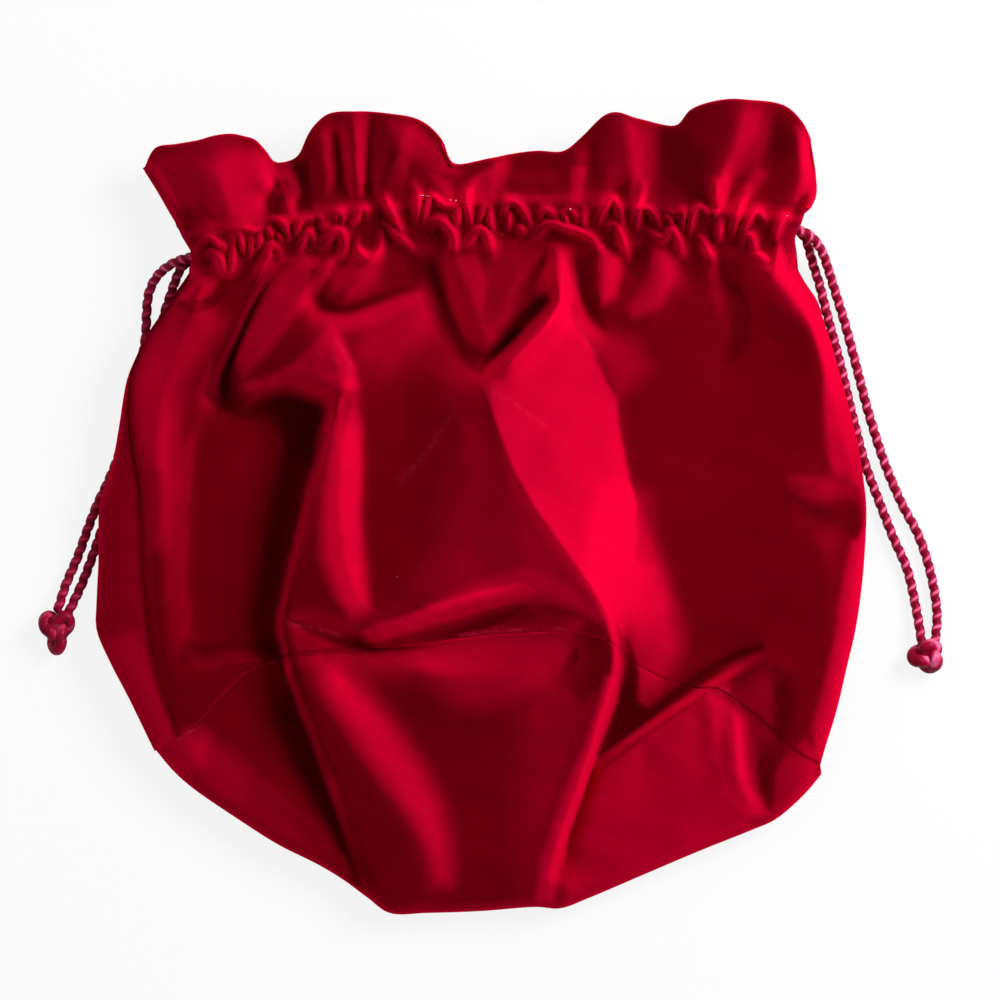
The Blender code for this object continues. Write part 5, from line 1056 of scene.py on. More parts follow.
def backRow(seam, edge, right, seamZ, edgeZ, rightZ, depths, bow):
    # section from the left seam round to the right seam
    s = np.linspace(0, 1, back["strip"] + 1)[:-1]
    strip = seam + (edge - seam) * np.sin(s * math.pi / 2)[:, None]
    stripZ = edgeZ + (seamZ - edgeZ) * np.sqrt(1 - np.sin(s * math.pi / 2) ** 2.6)
    angle = np.linspace(0, math.pi / 2, back["roll"] + 1)[:-1]
    roll = edge + np.stack([depths[0] * (1 - np.cos(angle)), np.zeros(len(angle))], axis=1)
    rollZ = edgeZ * (1 - np.sin(angle))
    start, end = edge + (depths[0], 0), right - (depths[1], 0)
    share = np.linspace(0, 1, back["flat"] + 1)[:-1]
    flat = start + (end - start) * share[:, None] + underBow(share) * bow
    angle = np.linspace(0, math.pi / 2, back["rightRoll"] + 1)
    turn = right - np.stack([depths[1] * (1 - np.sin(angle)), np.zeros(len(angle))], axis=1)
    turnZ = rightZ * (1 - np.cos(angle))
    spots = np.concatenate([strip, roll, flat, turn])
    z = np.concatenate([stripZ, rollZ, np.zeros(len(flat)), turnZ])
    return np.concatenate([spots, z[:, None]], axis=1)


def backSeamZ(row):
    # height of the seam, taken from the front's own edge
    inCasing = front["frillRows"] <= row < front["frillRows"] + front["casingRows"]
    share = np.clip((casing["rows"] - abs(ups[row - front["frillRows"]])) / 2.5, 0, 1) if inCasing else 0.0
    return [frontOutside[row, k, 2] / mm * (1 - share) + 9.4 * share for k in (0, -1)]


backRows = []
total = back["frillRows"] + back["casingRows"] + back["bodyRows"]
for order in range(total):
    if order < back["frillRows"]:
        row = order * front["frillRows"] / back["frillRows"]
    elif order < back["frillRows"] + back["casingRows"]:
        row = front["frillRows"] + (order - back["frillRows"]) * front["casingRows"] / back["casingRows"]
    else:
        share = (order - back["frillRows"] - back["casingRows"] + 1) / back["bodyRows"]
        row = front["frillRows"] + front["casingRows"] - 1 + share * front["bodyRows"]
    row = min(frontRows - 1, int(round(row)))
    seam, right = frontPlan[row, 0], frontPlan[row, -1]
    seamZ, rightZ = backSeamZ(row)
    bodyShare = max(0.0, (row - front["frillRows"] - front["casingRows"] + 1) / front["bodyRows"])
    if bodyShare > 0:
        edge = along(np.concatenate([casingPlan[-1][:1], lines["outlineLeft"]]), np.array([bodyShare]))[0]
        edgeZ = min(back["edgeHeight"], 0.7 * seamZ)
        taper = np.interp(bodyShare, (0, 0.15, 0.9, 1.0), (0.5, 1.0, 1.0, 0.4))
        rightDepth = back["rightDepth"] * np.interp(bodyShare, (0, 0.1, 0.93, 1.0), (0.5, 1.0, 1.0, 0.4))
    else:
        edge, edgeZ, taper, rightDepth = seam + (-0.3, 0), 0.7 * seamZ, 0.5, 5.0
    section = backRow(seam, edge, right, seamZ, edgeZ, rightZ, (back["rollDepth"] * taper, rightDepth),
                      bodyShare ** 1.5)
    flatPart = slice(back["strip"] + back["roll"], back["strip"] + back["roll"] + back["flat"])
    if bodyShare == 0:
        x = section[flatPart, 0]
        ends = np.clip(np.arange(len(x)) / 10, 0, 1) * np.clip(np.arange(len(x))[::-1] / 10, 0, 1)
        frontLine = np.interp(x, frontPlan[row, :, 0], frontPlan[row, :, 1])
        inset = back["inset"] * max(0.0, 1 - order / back["frillRows"])
        section[flatPart, 1] = section[flatPart, 1] * (1 - ends) + (frontLine - inset) * ends
    backRows.append(section)
backSection = np.array(backRows)
x, y = backSection[..., 0], backSection[..., 1]
up = y - casingY(x)
flatShare = np.clip(1 - backSection[..., 2] / 3.0, 0, 1)
puff = gathers(x + 3.0, up, casing["backTucks"])
dip = (np.exp(-((np.abs(up) - casing["half"] - 0.3) / 1.2) ** 2) * 1.8
       + np.exp(-np.clip(np.abs(up) - 6, 0, 99) / 6.0) * 1.3 * (1 - puff))
waves = (np.clip((up - 8) / 16, 0, 1) * 1.3 * (1 + np.sin(x * 0.21))
         + 0.25 * (1 + np.sin(x * 0.09 + y * 0.05)))
backSection[..., 2] += flatShare * (dip + waves * np.clip(np.abs(up) / 10, 0, 1))
# a narrow allowance, tucked into the base, closes the seam
onward = backSection[-1, :, :2] - backSection[-2, :, :2]
onward /= np.maximum(np.linalg.norm(onward, axis=1, keepdims=True), 1e-9)
allowance = np.concatenate([backSection[-1, :, :2] + back["allowance"] * onward,
                            backSection[-1, :, 2:] * 0.8 + 0.6], axis=1)
backSection = np.concatenate([backSection, allowance[None]])
backSection[..., 2] = np.maximum(backSection[..., 2], 0)
backOutside = backSection * mm
print("back rows", backOutside.shape)


def backTurned(outside):
    # second layer of the back's frill and casing, like the front's
    normals = inwardWay(outside, -1)
    rows = []
    for order in range(back["frillRows"] + back["casingRows"] - 2, -1, -1):
        spots = outside[order] - normals[order] * front["layers"]
        if order >= back["frillRows"]:
            middle = (order - back["frillRows"]) / (back["casingRows"] - 1)
            share = np.clip((0.5 - abs(middle - 0.5) - 0.14) / 0.12, 0, 1)
            count = outside.shape[1]
            ends = np.clip(np.minimum(np.arange(count) - 30, count - 22 - np.arange(count)) / 8, 0, 1)
            spots[:, 2] = spots[:, 2] * (1 - share * ends) + back["innerCasing"] * mm * share * ends
        rows.append(spots)
    return np.array(rows + mouthTurn(outside, normals))


backGrid = np.concatenate([backTurned(backOutside), backOutside])
backGrid[..., 2] = np.maximum(backGrid[..., 2], 0)
noWear, backLightShadeAndNap = np.zeros(backGrid.shape[:2]), np.zeros(backGrid.shape[:2])
seen = back["strip"] + 8        # the columns beside the left seam, which show from above
# painted light and shade, with the nap, on the back beside the left seam
backLightShadeAndNap[-len(backOutside):, :seen] = lightShadeAndNapOf(backSection[:, :seen, :2], backOutside[:, :seen])
backPanel = sheetMesh("velvetBack", backGrid, front["cloth"], -1, noWear, backLightShadeAndNap)
print("back", backGrid.shape, "faces", len(backPanel.data.polygons))


# Cords: the same routes as the solids', x and y in mm and heights in metres

cord = {"diameter": 0.004, "tightness": 0.465, "lane": 2.2, "lead": 0.00435, "groove": 0.78,
        "station": 0.0004, "sides": 16, "frontZ": 0.0209, "backZ": 0.0047, "turnZ": 0.0128,
        "turnRadius": 0.0081, "turns": (-97.3, 105.7), "table": 0.0021}
t = cord["table"]
leftStart = [(-156.9, -39.0, 0.0046), (-153.6, -28.5, 0.0027), (-149.2, -18, t), (-145.6, -8, t),
             (-142.1, 1, t), (-138.3, 9, t), (-134.6, 18, t), (-131.3, 30, t), (-129.3, 42, t),
             (-125.8, 54, t), (-124.1, 64, t), (-123.8, 72, t), (-123.0, 79, 0.0026),
             (-120.4, 84.6, 0.0052), (-116.4, 88.4, 0.0094), (-111.8, 90.8, 0.0132),
             (-106.5, 92.2, 0.0168), (-101.0, 92.9, 0.0202)]
leftEnd = [(-101.5, 92.8, 0.0068), (-106.5, 91.8, 0.0098), (-110.6, 88.6, 0.0082), (-113.0, 84, 0.0046),
           (-114.8, 79, 0.0024), (-117.4, 71, t), (-119.2, 62.5, t), (-121.0, 53, t), (-124.6, 42, t),
           (-126.6, 30, t), (-129.8, 18, t), (-133.6, 8, t), (-137.0, 0, t), (-140.6, -9, t),
           (-143.8, -18, t), (-147.6, -28, 0.0025), (-153.0, -39.8, 0.0046)]
rightStart = [(166.8, -51.8, 0.0047), (167.8, -47.5, 0.0045), (168.4, -39, 0.0026), (166.0, -24, t),
              (161.4, -10, t), (155.6, 1, t), (149.6, 15, t), (143.4, 34, t), (138.4, 53, t), (134.4, 68, t),
              (131.0, 79, 0.0026), (128.2, 87.5, 0.0058), (125.4, 94.6, 0.0106), (121.4, 99.8, 0.0146),
              (116.5, 102.2, 0.0174), (110.5, 102.9, 0.0201)]
rightEnd = [(110.5, 103.3, 0.0062), (115.5, 103.0, 0.0088), (119.4, 99.4, 0.0086), (121.4, 93.6, 0.0062),
            (123.0, 88.4, 0.0036), (124.8, 83, 0.0023), (127.6, 72, t), (132.4, 54, t), (137.4, 33, t),
            (141.9, 16, t), (147.5, 1, t), (152.2, -11, t), (157.4, -23, t), (160.6, -37, 0.0026),
            (162.3, -47.5, 0.0045), (162.8, -51.8, 0.0047)]
stops = [-96.5, -84, -70, -56, -42, -28, -14, 0, 14, 28, 42, 56, 70, 84, 96, 103]


def inLane(places, z, side):
    # points inside the casing, one cord beside the other
    return [(x, casingY(x) + side * cord["lane"], z) for x in places]


def turnRound(end, side):
    # half circle from the front casing to the back one
    middle, out = cord["turns"][end], 2 * end - 1
    y = casingY(middle) + side * cord["lane"]
    return [(middle + out * cord["turnRadius"] / mm * math.sin(angle), y,
             cord["turnZ"] + cord["turnRadius"] * math.cos(angle)) for angle in np.linspace(0, math.pi, 5)]


routes = {
    "left": leftStart + inLane(stops, cord["frontZ"], -1) + turnRound(1, -1)
    + inLane(stops[::-1], cord["backZ"], -1) + leftEnd,
    "right": rightStart + inLane(stops[::-1], cord["frontZ"], 1) + turnRound(0, 1)
    + inLane(stops, cord["backZ"], 1) + rightEnd,
}


def ropeSection(sides, groove):
    # outline of a tightly twisted strip: round, with one hollow where its turns meet
    turn = np.linspace(0, 2 * math.pi, sides, endpoint=False)
    return turn, 1 - (1 - groove) * (0.5 - 0.5 * np.cos(turn)) ** 3


def ropeMesh(name, way, radius, lead, paintedHighlight, closed=False):
    # twisted cord along a way, with its strands running round it
    steps = np.linalg.norm(np.diff(way, axis=0), axis=1)
    run = np.concatenate([[0], np.cumsum(steps)])
    count = int(run[-1] / cord["station"])
    at = np.linspace(0, run[-1], count)
    line = np.stack([np.interp(at, run, way[:, k]) for k in range(3)], axis=1)
    tangents = np.gradient(line, axis=0)
    tangents /= np.linalg.norm(tangents, axis=1, keepdims=True)
    side = np.cross(tangents[0], (0, 0, 1.0))
    side /= np.linalg.norm(side)
    turn, section = ropeSection(cord["sides"], cord["groove"])
    points = np.zeros((count, cord["sides"], 3))
    for k in range(count):
        side = side - tangents[k] * np.dot(side, tangents[k])
        side /= np.linalg.norm(side)
        up = np.cross(tangents[k], side)
        angle = turn + 2 * math.pi * at[k] / lead
        size = section * radius
        if not closed:
            size = size * math.sqrt(max(0.05, 1 - max(0, 1 - min(k, count - 1 - k) / 3) ** 2))
        points[k] = line[k] + (np.cos(angle) * size)[:, None] * side + (np.sin(angle) * size)[:, None] * up
    rows, cols = count, cord["sides"]
    order = np.arange(rows * cols).reshape(rows, cols)
    a, b = order[:-1], np.roll(order, -1, axis=1)[:-1]
    c, d = np.roll(order, -1, axis=1)[1:], order[1:]
    faces = np.stack([a, b, c, d], axis=-1).reshape(-1, 4).tolist()
    faces.append(order[0, ::-1].tolist())
    faces.append(order[-1].tolist())
    mesh = bpy.data.meshes.new(name)
    mesh.from_pydata(points.reshape(-1, 3).tolist(), [], faces)
    mesh.polygons.foreach_set("use_smooth", np.ones(len(faces), bool))
    layer = mesh.uv_layers.new(name="strands")
    u = np.tile(np.arange(cols) / cols, (rows - 1, 1))
    v = np.tile((at / lead)[:-1, None], (1, cols))
    stepU, stepV = 1 / cols, (at[1] - at[0]) / lead
    quad = np.stack([np.stack(corner, -1) for corner in (
        (u, v), (u + stepU, v), (u + stepU, v + stepV), (u, v + stepV))], axis=2).reshape(-1, 2)
    values = np.zeros((len(mesh.loops), 2))
    values[:len(quad)] = quad
    layer.data.foreach_set("uv", values.ravel())
    # painted highlight strength at the cord's points
    paintedHighlightLayer = mesh.attributes.new("paintedHighlight", "FLOAT", "POINT")
    paintedHighlightLayer.data.foreach_set("value", np.repeat(paintedHighlight(line / mm), cols).astype(np.float32))
    return placed(name, mesh), line


def paintedHighlightAt(places):
    # painted highlight strength on the satin: strong on the right, where the light falls, and in the bend at
    # the left end of the casing
    bend = np.exp(-((places[:, 0] + 114) / 9) ** 2 - ((places[:, 1] - 88) / 8) ** 2)
    return np.clip((places[:, 0] + 20) / 60, 0, 1) * 0.8 + 0.2 + 0.6 * bend


cords, cordWays = {}, {}
for side, route in routes.items():
    way = smoothLine([(x * mm, y * mm, z) for x, y, z in route], 10)
    radius = cord["tightness"] * cord["diameter"]
    cords[side], cordWays[side] = ropeMesh("satinCord." + side, way, radius, cord["lead"], paintedHighlightAt)


# Knots: each is the tied end of a cord, pulled tight

knots = {
    "left": {"at": (-156.9, -45.2), "size": (1.40, 2.30), "turn": 0, "taper": 0.30, "radius": 0.0026},
    "right": {"at": (164.6, -55.0), "size": (1.62, 1.45), "turn": 30, "taper": 0.0, "radius": 0.0027},
}
knotHeight, knotGap = 0.0019, 0.0002    # of its turns over each other, and to the table


def knotMesh(side):
    # an overhand knot: one strand that crosses itself three times
    knot = knots[side]
    turn, radius = math.radians(knot["turn"]), knot["radius"]
    angle = np.linspace(0, 2 * math.pi, 160)
    x = np.sin(angle) + 2 * np.sin(2 * angle)
    y = np.cos(angle) - 2 * np.cos(2 * angle)
    z = -np.sin(3 * angle) * knotHeight
    x, y = x * math.cos(turn) - y * math.sin(turn), x * math.sin(turn) + y * math.cos(turn)
    x = x * (1 + knot["taper"] * y / 3)
    way = np.stack([(knot["at"][0] + x * knot["size"][0]) * mm, (knot["at"][1] + y * knot["size"][1]) * mm,
                    z + knotHeight + radius + knotGap], axis=1)
    return ropeMesh("cordKnot." + side, way, radius, cord["lead"] * 2, paintedHighlightAt, closed=True)[0]


knotPieces = {side: knotMesh(side) for side in knots}
print("knots", {side: len(piece.data.polygons) for side, piece in knotPieces.items()})


# Materials

def nodeGroup(name, inputs, outputs):
    tree = bpy.data.node_groups.new(name, "ShaderNodeTree")
    for label, kind, value in inputs:
        socket = tree.interface.new_socket(label, in_out="INPUT", socket_type=kind)
        socket.default_value = value
    for label, kind in outputs:
        tree.interface.new_socket(label, in_out="OUTPUT", socket_type=kind)
    return tree, tree.nodes.new("NodeGroupInput"), tree.nodes.new("NodeGroupOutput")


def feed(tree, socket, value):
    # links another node's output, or sets a plain value
    if hasattr(value, "is_linked"):
        tree.links.new(value, socket)
    else:
        socket.default_value = value


def mixColour(tree, factor, first, second):
    mix = tree.nodes.new("ShaderNodeMix")
    mix.data_type = "RGBA"
    for number, value in ((0, factor), (6, first), (7, second)):
        feed(tree, mix.inputs[number], value)
    return mix.outputs[2]


def mathNode(tree, operation, *values):
    node = tree.nodes.new("ShaderNodeMath")
    node.operation = operation
    for socket, value in zip(node.inputs, values):
        feed(tree, socket, value)
    return node.outputs[0]


def mapRange(tree, value, low, high, toLow, toHigh):
    # it also keeps the result between the last two
    node = tree.nodes.new("ShaderNodeMapRange")
    tree.links.new(value, node.inputs["Value"])
    for label, number in (("From Min", low), ("From Max", high), ("To Min", toLow), ("To Max", toHigh)):
        node.inputs[label].default_value = number
    return node.outputs["Result"]


def onObject(tree):
    return tree.nodes.new("ShaderNodeTexCoord").outputs["Object"]


def noise(tree, vector, scale, detail, roughness=0.5):
    node = tree.nodes.new("ShaderNodeTexNoise")
    tree.links.new(vector, node.inputs["Vector"])
    for label, number in (("Scale", scale), ("Detail", detail), ("Roughness", roughness)):
        node.inputs[label].default_value = number
    return node.outputs["Fac"]


def onPoints(tree, name):
    # a value that the mesh carries at its points
    node = tree.nodes.new("ShaderNodeAttribute")
    node.attribute_name = name
    return node.outputs["Fac"]


def bumped(tree, shader, height, strength, distance):
    bump = tree.nodes.new("ShaderNodeBump")
    bump.inputs["Strength"].default_value = strength
    bump.inputs["Distance"].default_value = distance
    tree.links.new(height, bump.inputs["Height"])
    tree.links.new(bump.outputs["Normal"], shader.inputs["Normal"])


def principled(name, settings):
    made = bpy.data.materials.new(name)
    made.use_nodes = True
    shader = made.node_tree.nodes["Principled BSDF"]
    for label, value in settings.items():
        shader.inputs[label].default_value = value
    return made, made.node_tree, shader


def pileGroup():
    # short pile: stroked patches, fine fibres, pale rubbed lines and a few specks of lint
    tree, start, end = nodeGroup("velvetPile", [
        ("Colour", "NodeSocketColor", (0.1, 0.001, 0.005, 1)),
        ("Stroked", "NodeSocketColor", (0.2, 0.002, 0.01, 1)),
        ("Rubbed", "NodeSocketColor", (0.6, 0.05, 0.1, 1)), ("Crease", "NodeSocketFloat", 0.0),
        ("Patches", "NodeSocketFloat", 0.4), ("Fibres", "NodeSocketFloat", 0.2)],
        [("Colour", "NodeSocketColor"), ("Height", "NodeSocketFloat")])
    given, place = start.outputs, onObject(tree)
    patches = mapRange(tree, noise(tree, place, 26, 3, 0.55), 0.42, 0.66, 0, 1)
    stroked = mathNode(tree, "MULTIPLY", patches, given["Patches"])
    colour = mixColour(tree, stroked, given["Colour"], given["Stroked"])
    fine = noise(tree, place, 1500, 2, 0.7)
    grain = mathNode(tree, "MULTIPLY", mapRange(tree, fine, 0.35, 0.7, 0, 1), given["Fibres"])
    colour = mixColour(tree, grain, colour, given["Stroked"])
    ragged = mapRange(tree, noise(tree, place, 420, 3, 0.7), 0.38, 0.62, 0.15, 1)
    colour = mixColour(tree, mathNode(tree, "MULTIPLY", ragged, given["Crease"]), colour, given["Rubbed"])
    specks = tree.nodes.new("ShaderNodeTexVoronoi")
    tree.links.new(place, specks.inputs["Vector"])
    specks.inputs["Scale"].default_value = 95
    dots = mapRange(tree, specks.outputs["Distance"], 0.02, 0.035, 1, 0)
    rare = mapRange(tree, noise(tree, place, 60, 1), 0.66, 0.68, 0, 0.8)
    colour = mixColour(tree, mathNode(tree, "MULTIPLY", dots, rare), colour, given["Rubbed"])
    tree.links.new(colour, end.inputs["Colour"])
    tree.links.new(fine, end.inputs["Height"])
    return tree


# facing is the pile's own colour; slope is a painted sheen colour for pile seen edge-on, and shade a painted
# shade colour
velvetLook = {"facing": (0.130, 0.0002, 0.0034, 1), "stroked": (0.18, 0.0003, 0.0060, 1),
              "slope": (0.68, 0.0004, 0.030, 1), "rubbed": (0.72, 0.02, 0.075, 1),
              "shade": (0.027, 0.0001, 0.0010, 1), "patches": 0.35, "fibres": 0.25,
              "bump": 0.25, "fibre": 0.0003}


def velvetMaterial():
    # painted sheen: the base colour turns lighter where the pile slopes away from view; the painted light
    # and shade patches, with the nap, make it lighter or darker
    made, tree, shader = principled("redVelvet", {
        "Roughness": 0.95, "Specular IOR Level": 0.0, "Sheen Weight": 0.6, "Sheen Roughness": 0.4,
        "Sheen Tint": (1.0, 0.002, 0.05, 1)})
    group = tree.nodes.new("ShaderNodeGroup")
    group.node_tree = pileGroup()
    for label in ("Stroked", "Rubbed", "Patches", "Fibres"):
        group.inputs[label].default_value = velvetLook[label.lower()]
    group.inputs["Colour"].default_value = velvetLook["facing"]
    tree.links.new(onPoints(tree, "crease"), group.inputs["Crease"])
    # painted sheen from the facing angle, with painted light added from the patches
    edge = tree.nodes.new("ShaderNodeLayerWeight")
    edge.inputs["Blend"].default_value = 0.5
    slope = mapRange(tree, edge.outputs["Facing"], 0.05, 0.85, 0, 1)
    lightShadeAndNap = onPoints(tree, "lightShadeAndNap")
    sheenAndPaintedLight = mathNode(tree, "ADD", slope, mapRange(tree, lightShadeAndNap, 0, 1, 0, 1))
    lit = mixColour(tree, mapRange(tree, sheenAndPaintedLight, 0, 1, 0, 1), group.outputs["Colour"], velvetLook["slope"])
    # painted shade where the patches are negative
    paintedShade = mapRange(tree, lightShadeAndNap, -1, 0, 1, 0)
    tree.links.new(mixColour(tree, paintedShade, lit, velvetLook["shade"]), shader.inputs["Base Color"])
    bumped(tree, shader, group.outputs["Height"], velvetLook["bump"], velvetLook["fibre"])
    return made


# the middle colour is the cord's own; the groove colour is painted shade, and the highlight colour a painted
# highlight
satinLook = {"deep": (0.20, 0.0003, 0.016, 1), "mid": (0.37, 0.001, 0.035, 1),
             "bright": (1.0, 0.16, 0.36, 1), "threads": 7, "bump": 0.35, "thread": 0.0001}


def satinMaterial():
    made, tree, shader = principled("crimsonSatinCord", {
        "Roughness": 0.42, "Specular IOR Level": 0.25, "Specular Tint": (1.0, 0.3, 0.55, 1)})
    strands = tree.nodes.new("ShaderNodeUVMap")
    strands.uv_map = "strands"
    split = tree.nodes.new("ShaderNodeSeparateXYZ")
    tree.links.new(strands.outputs["UV"], split.inputs[0])
    across = split.outputs["X"]
    wave = mathNode(tree, "SINE", mathNode(tree, "MULTIPLY", across, 2 * satinLook["threads"] * math.pi))
    # painted highlight: a band of light on each turn, along its crown
    away = mathNode(tree, "ABSOLUTE", mathNode(tree, "WRAP", across, 0.5, -0.5))
    band = mapRange(tree, away, 0.06, 0.17, 1, 0)
    ragged = mapRange(tree, noise(tree, onObject(tree), 260, 2), 0.35, 0.6, 0.35, 1)
    light = mathNode(tree, "MULTIPLY", mathNode(tree, "MULTIPLY", band, ragged), onPoints(tree, "paintedHighlight"))
    # painted shade: the colour is darker away from the crown, towards the grooves
    ground = mixColour(tree, mapRange(tree, away, 0.10, 0.45, 1, 0), satinLook["deep"], satinLook["mid"])
    tree.links.new(mixColour(tree, light, ground, satinLook["bright"]), shader.inputs["Base Color"])
    bumped(tree, shader, wave, satinLook["bump"], satinLook["thread"])
    return made


def threadMaterial(name, settings, scale, dark, pale):
    made, tree, shader = principled(name, settings)
    fray = mapRange(tree, noise(tree, onObject(tree), scale, 2), 0.3, 0.7, 0, 1)
    tree.links.new(mixColour(tree, fray, dark, pale), shader.inputs["Base Color"])
    return made


velvet, satin = velvetMaterial(), satinMaterial()
thread = threadMaterial("redThread", {"Roughness": 0.7, "Specular IOR Level": 0.1}, 700,
                        (0.22, 0.0006, 0.008, 1), (0.36, 0.001, 0.014, 1))
paleThread = threadMaterial("paleThread", {"Roughness": 0.6}, 900,
                            (0.75, 0.35, 0.38, 1), (0.9, 0.8, 0.8, 1))

for piece in (frontPanel, basePanel, backPanel):
    piece.data.materials.append(velvet)
for piece in (*cords.values(), *knotPieces.values()):
    piece.data.materials.append(satin)
print("materials made")


# Stitches: the two rows that close the casing, and the bits of pale tacking thread left in it

stitch = {"length": 0.0019, "pitch": 0.0031, "radius": 0.00016}
stitchLift, tackLift = -0.00010, 0.0003


def stitchTree(name, finish):
    tree = bpy.data.node_groups.new(name, "GeometryNodeTree")
    for label, kind in (("Geometry", "NodeSocketGeometry"), ("Length", "NodeSocketFloat"),
                        ("Pitch", "NodeSocketFloat"), ("Radius", "NodeSocketFloat"),
                        ("Seed", "NodeSocketInt")):
        tree.interface.new_socket(label, in_out="INPUT", socket_type=kind)
    tree.interface.new_socket("Geometry", in_out="OUTPUT", socket_type="NodeSocketGeometry")
    add, link = tree.nodes.new, tree.links.new
    start, end = add("NodeGroupInput"), add("NodeGroupOutput")
    line = add("GeometryNodeMeshToCurve")
    link(start.outputs["Geometry"], line.inputs["Mesh"])
    spots = add("GeometryNodeCurveToPoints")
    spots.mode = "LENGTH"
    link(line.outputs["Curve"], spots.inputs["Curve"])
    link(start.outputs["Pitch"], spots.inputs["Length"])
    bead = add("GeometryNodeMeshUVSphere")
    bead.inputs["Segments"].default_value = 8
    bead.inputs["Rings"].default_value = 6
    bead.inputs["Radius"].default_value = 1.0
    size = add("ShaderNodeCombineXYZ")
    half = add("ShaderNodeMath")
    half.operation = "MULTIPLY"
    half.inputs[1].default_value = 0.5
    link(start.outputs["Length"], half.inputs[0])
    link(half.outputs[0], size.inputs["X"])
    link(start.outputs["Radius"], size.inputs["Y"])
    link(start.outputs["Radius"], size.inputs["Z"])
    shape = add("GeometryNodeTransform")
    link(bead.outputs["Mesh"], shape.inputs["Geometry"])
    link(size.outputs["Vector"], shape.inputs["Scale"])
    turn = add("FunctionNodeAlignRotationToVector")
    turn.axis = "X"
    link(spots.outputs["Tangent"], turn.inputs["Vector"])
    vary = add("FunctionNodeRandomValue")
    vary.data_type = "FLOAT"
    vary.inputs[2].default_value = 0.7
    vary.inputs[3].default_value = 1.15
    link(start.outputs["Seed"], vary.inputs["Seed"])
    put = add("GeometryNodeInstanceOnPoints")
    link(spots.outputs["Points"], put.inputs["Points"])
    link(shape.outputs["Geometry"], put.inputs["Instance"])
    link(turn.outputs["Rotation"], put.inputs["Rotation"])
    link(vary.outputs[1], put.inputs["Scale"])
    real = add("GeometryNodeRealizeInstances")
    link(put.outputs["Instances"], real.inputs["Geometry"])
    paint = add("GeometryNodeSetMaterial")
    paint.inputs["Material"].default_value = finish
    link(real.outputs["Geometry"], paint.inputs["Geometry"])
    link(paint.outputs["Geometry"], end.inputs["Geometry"])
    return tree


def stitched(name, wayList, finish, seed, **sizes):
    # stitches along some lines, as one plain mesh
    points, joins = [], []
    for way in wayList:
        joins += [(len(points) + k, len(points) + k + 1) for k in range(len(way) - 1)]
        points += [tuple(point) for point in way]
    mesh = bpy.data.meshes.new(name + "Line")
    mesh.from_pydata(points, joins, [])
    guide = placed(name + "Line", mesh)
    tree = stitchTree(name, finish)
    modifier = guide.modifiers.new("stitches", "NODES")
    modifier.node_group = tree
    keys = {item.name: item.identifier for item in tree.interface.items_tree if item.in_out == "INPUT"}
    for label in ("Length", "Pitch", "Radius"):
        modifier[keys[label]] = sizes[label.lower()]
    modifier[keys["Seed"]] = seed
    evaluated = guide.evaluated_get(bpy.context.evaluated_depsgraph_get())
    made = bpy.data.meshes.new_from_object(evaluated)
    made.name = name
    made.polygons.foreach_set("use_smooth", np.ones(len(made.polygons), bool))
    guide.modifiers.clear()
    bpy.data.objects.remove(guide, do_unlink=True)
    return placed(name, made)


def stitchWay(row):
    # the line that a row of stitching takes on the front, short of the casing's ends
    return frontOutside[row][6:-6] + (0, 0, stitchLift)


upperRow = front["frillRows"] + int(np.argmin(np.abs(ups - casing["half"] - 0.3)))
lowerRow = front["frillRows"] + int(np.argmin(np.abs(ups + casing["half"] + 0.3)))
stitches = stitched("casingStitches", [stitchWay(upperRow), stitchWay(lowerRow)], thread, 3, **stitch)
tack = {"length": 0.0008, "pitch": 0.0011, "radius": 0.00016}
tackPlaces = [[(-22.4, 115.1), (-21.5, 115.1)], [(-20.2, 114.9), (-19.5, 114.8)],
              [(-11.4, 113.4), (-10.7, 113.3)], [(-9.4, 113.2), (-8.9, 113.2)],
              [(32.8, 110.1), (33.4, 110.0)], [(112.7, 107.6), (113.2, 107.5)]]
tackWays = [laidFront(along(place, np.linspace(0, 1, 9))[None])[0] + (0, 0, tackLift)
            for place in tackPlaces]
tacks = stitched("tackingBits", tackWays, paleThread, 5, **tack)
print("stitches", len(stitches.data.polygons))


# Floor, light and camera

ground = {"reach": 6, "height": -0.0004, "colour": (0.86, 0.86, 0.86, 1), "white": 0.86}


def paperMaterial():
    # white paper: the camera sees it almost white, and it keeps the bag's shadow
    made, tree, shader = principled("whitePaper", {
        "Base Color": ground["colour"], "Roughness": 0.9, "Specular IOR Level": 0.1})
    light = tree.nodes.new("ShaderNodeEmission")
    light.inputs["Color"].default_value = (1, 1, 1, 1)
    light.inputs["Strength"].default_value = 1.0
    rays = tree.nodes.new("ShaderNodeLightPath")
    seen = mathNode(tree, "MULTIPLY", rays.outputs["Is Camera Ray"], ground["white"])
    both = tree.nodes.new("ShaderNodeMixShader")
    tree.links.new(seen, both.inputs["Fac"])
    tree.links.new(shader.outputs["BSDF"], both.inputs[1])
    tree.links.new(light.outputs["Emission"], both.inputs[2])
    tree.links.new(both.outputs["Shader"], tree.nodes["Material Output"].inputs["Surface"])
    return made


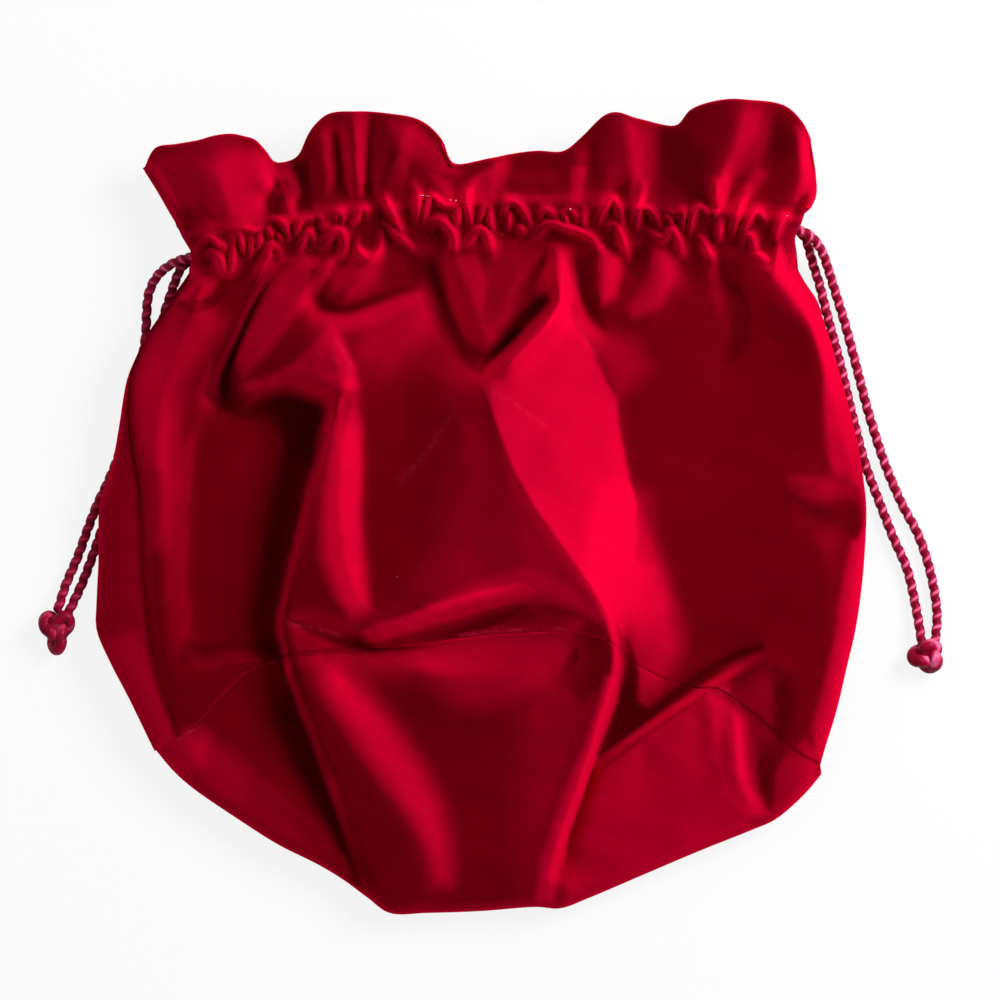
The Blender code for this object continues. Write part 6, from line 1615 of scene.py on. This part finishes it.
floorMesh = bpy.data.meshes.new("floor")
corners = [(x * ground["reach"], y * ground["reach"], ground["height"])
           for x, y in ((-1, -1), (1, -1), (1, 1), (-1, 1))]
floorMesh.from_pydata(corners, [], [(0, 1, 2, 3)])
floorMesh.materials.append(paperMaterial())
floor = placed("floor", floorMesh)

lights = {"world": 0.32, "key": {"at": (0.85, 0.50, 0.80), "size": 0.6, "power": 17.0},
          "fill": {"at": (-0.8, 0.5, 1.1), "size": 0.9, "power": 2.0}}
world = bpy.data.worlds.new("studio")
bpy.context.scene.world = world
world.use_nodes = True
world.node_tree.nodes["Background"].inputs["Color"].default_value = (1, 1, 1, 1)
world.node_tree.nodes["Background"].inputs["Strength"].default_value = lights["world"]


def areaLight(name, spec):
    # a round soft light that looks at the bag
    data = bpy.data.lights.new(name, "AREA")
    data.shape = "DISK"
    data.size = spec["size"]
    data.energy = spec["power"]
    lamp = placed(name, data)
    lamp.location = spec["at"]
    aim = np.array((0.0, 0.0, 0.02)) - np.array(spec["at"])
    lamp.rotation_euler = (math.acos(-aim[2] / np.linalg.norm(aim)), 0,
                           math.atan2(aim[1], aim[0]) - math.pi / 2)


areaLight("keyLight", lights["key"])
areaLight("fillLight", lights["fill"])

cameraData = bpy.data.cameras.new("camera")
cameraData.sensor_width = 36
cameraData.lens = cameraData.sensor_width * view["height"] / view["across"]
cameraData.clip_end = 20
camera = placed("camera", cameraData)
camera.location = [value * mm for value in (*view["centre"], view["height"])]
bpy.context.scene.camera = camera
bpy.context.scene.view_settings.view_transform = "Standard"


# What stands for what

panels = {"front_panel": frontPanel, "back_panel": backPanel, "base_panel": basePanel}
for node, piece in panels.items():
    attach(piece, "root")
    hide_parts(node)
for side in ("left", "right"):
    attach(cords[side], "root")
    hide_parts("cord_" + side)
    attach(knotPieces[side], "root")
    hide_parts("knot_" + side)
    way = cordWays[side]
for piece in (stitches, tacks):
    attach(piece, "root")


for piece in panels.values():
    print(piece.name, "area of one layer", round(sum(face.area for face in piece.data.polygons) / 2, 4))
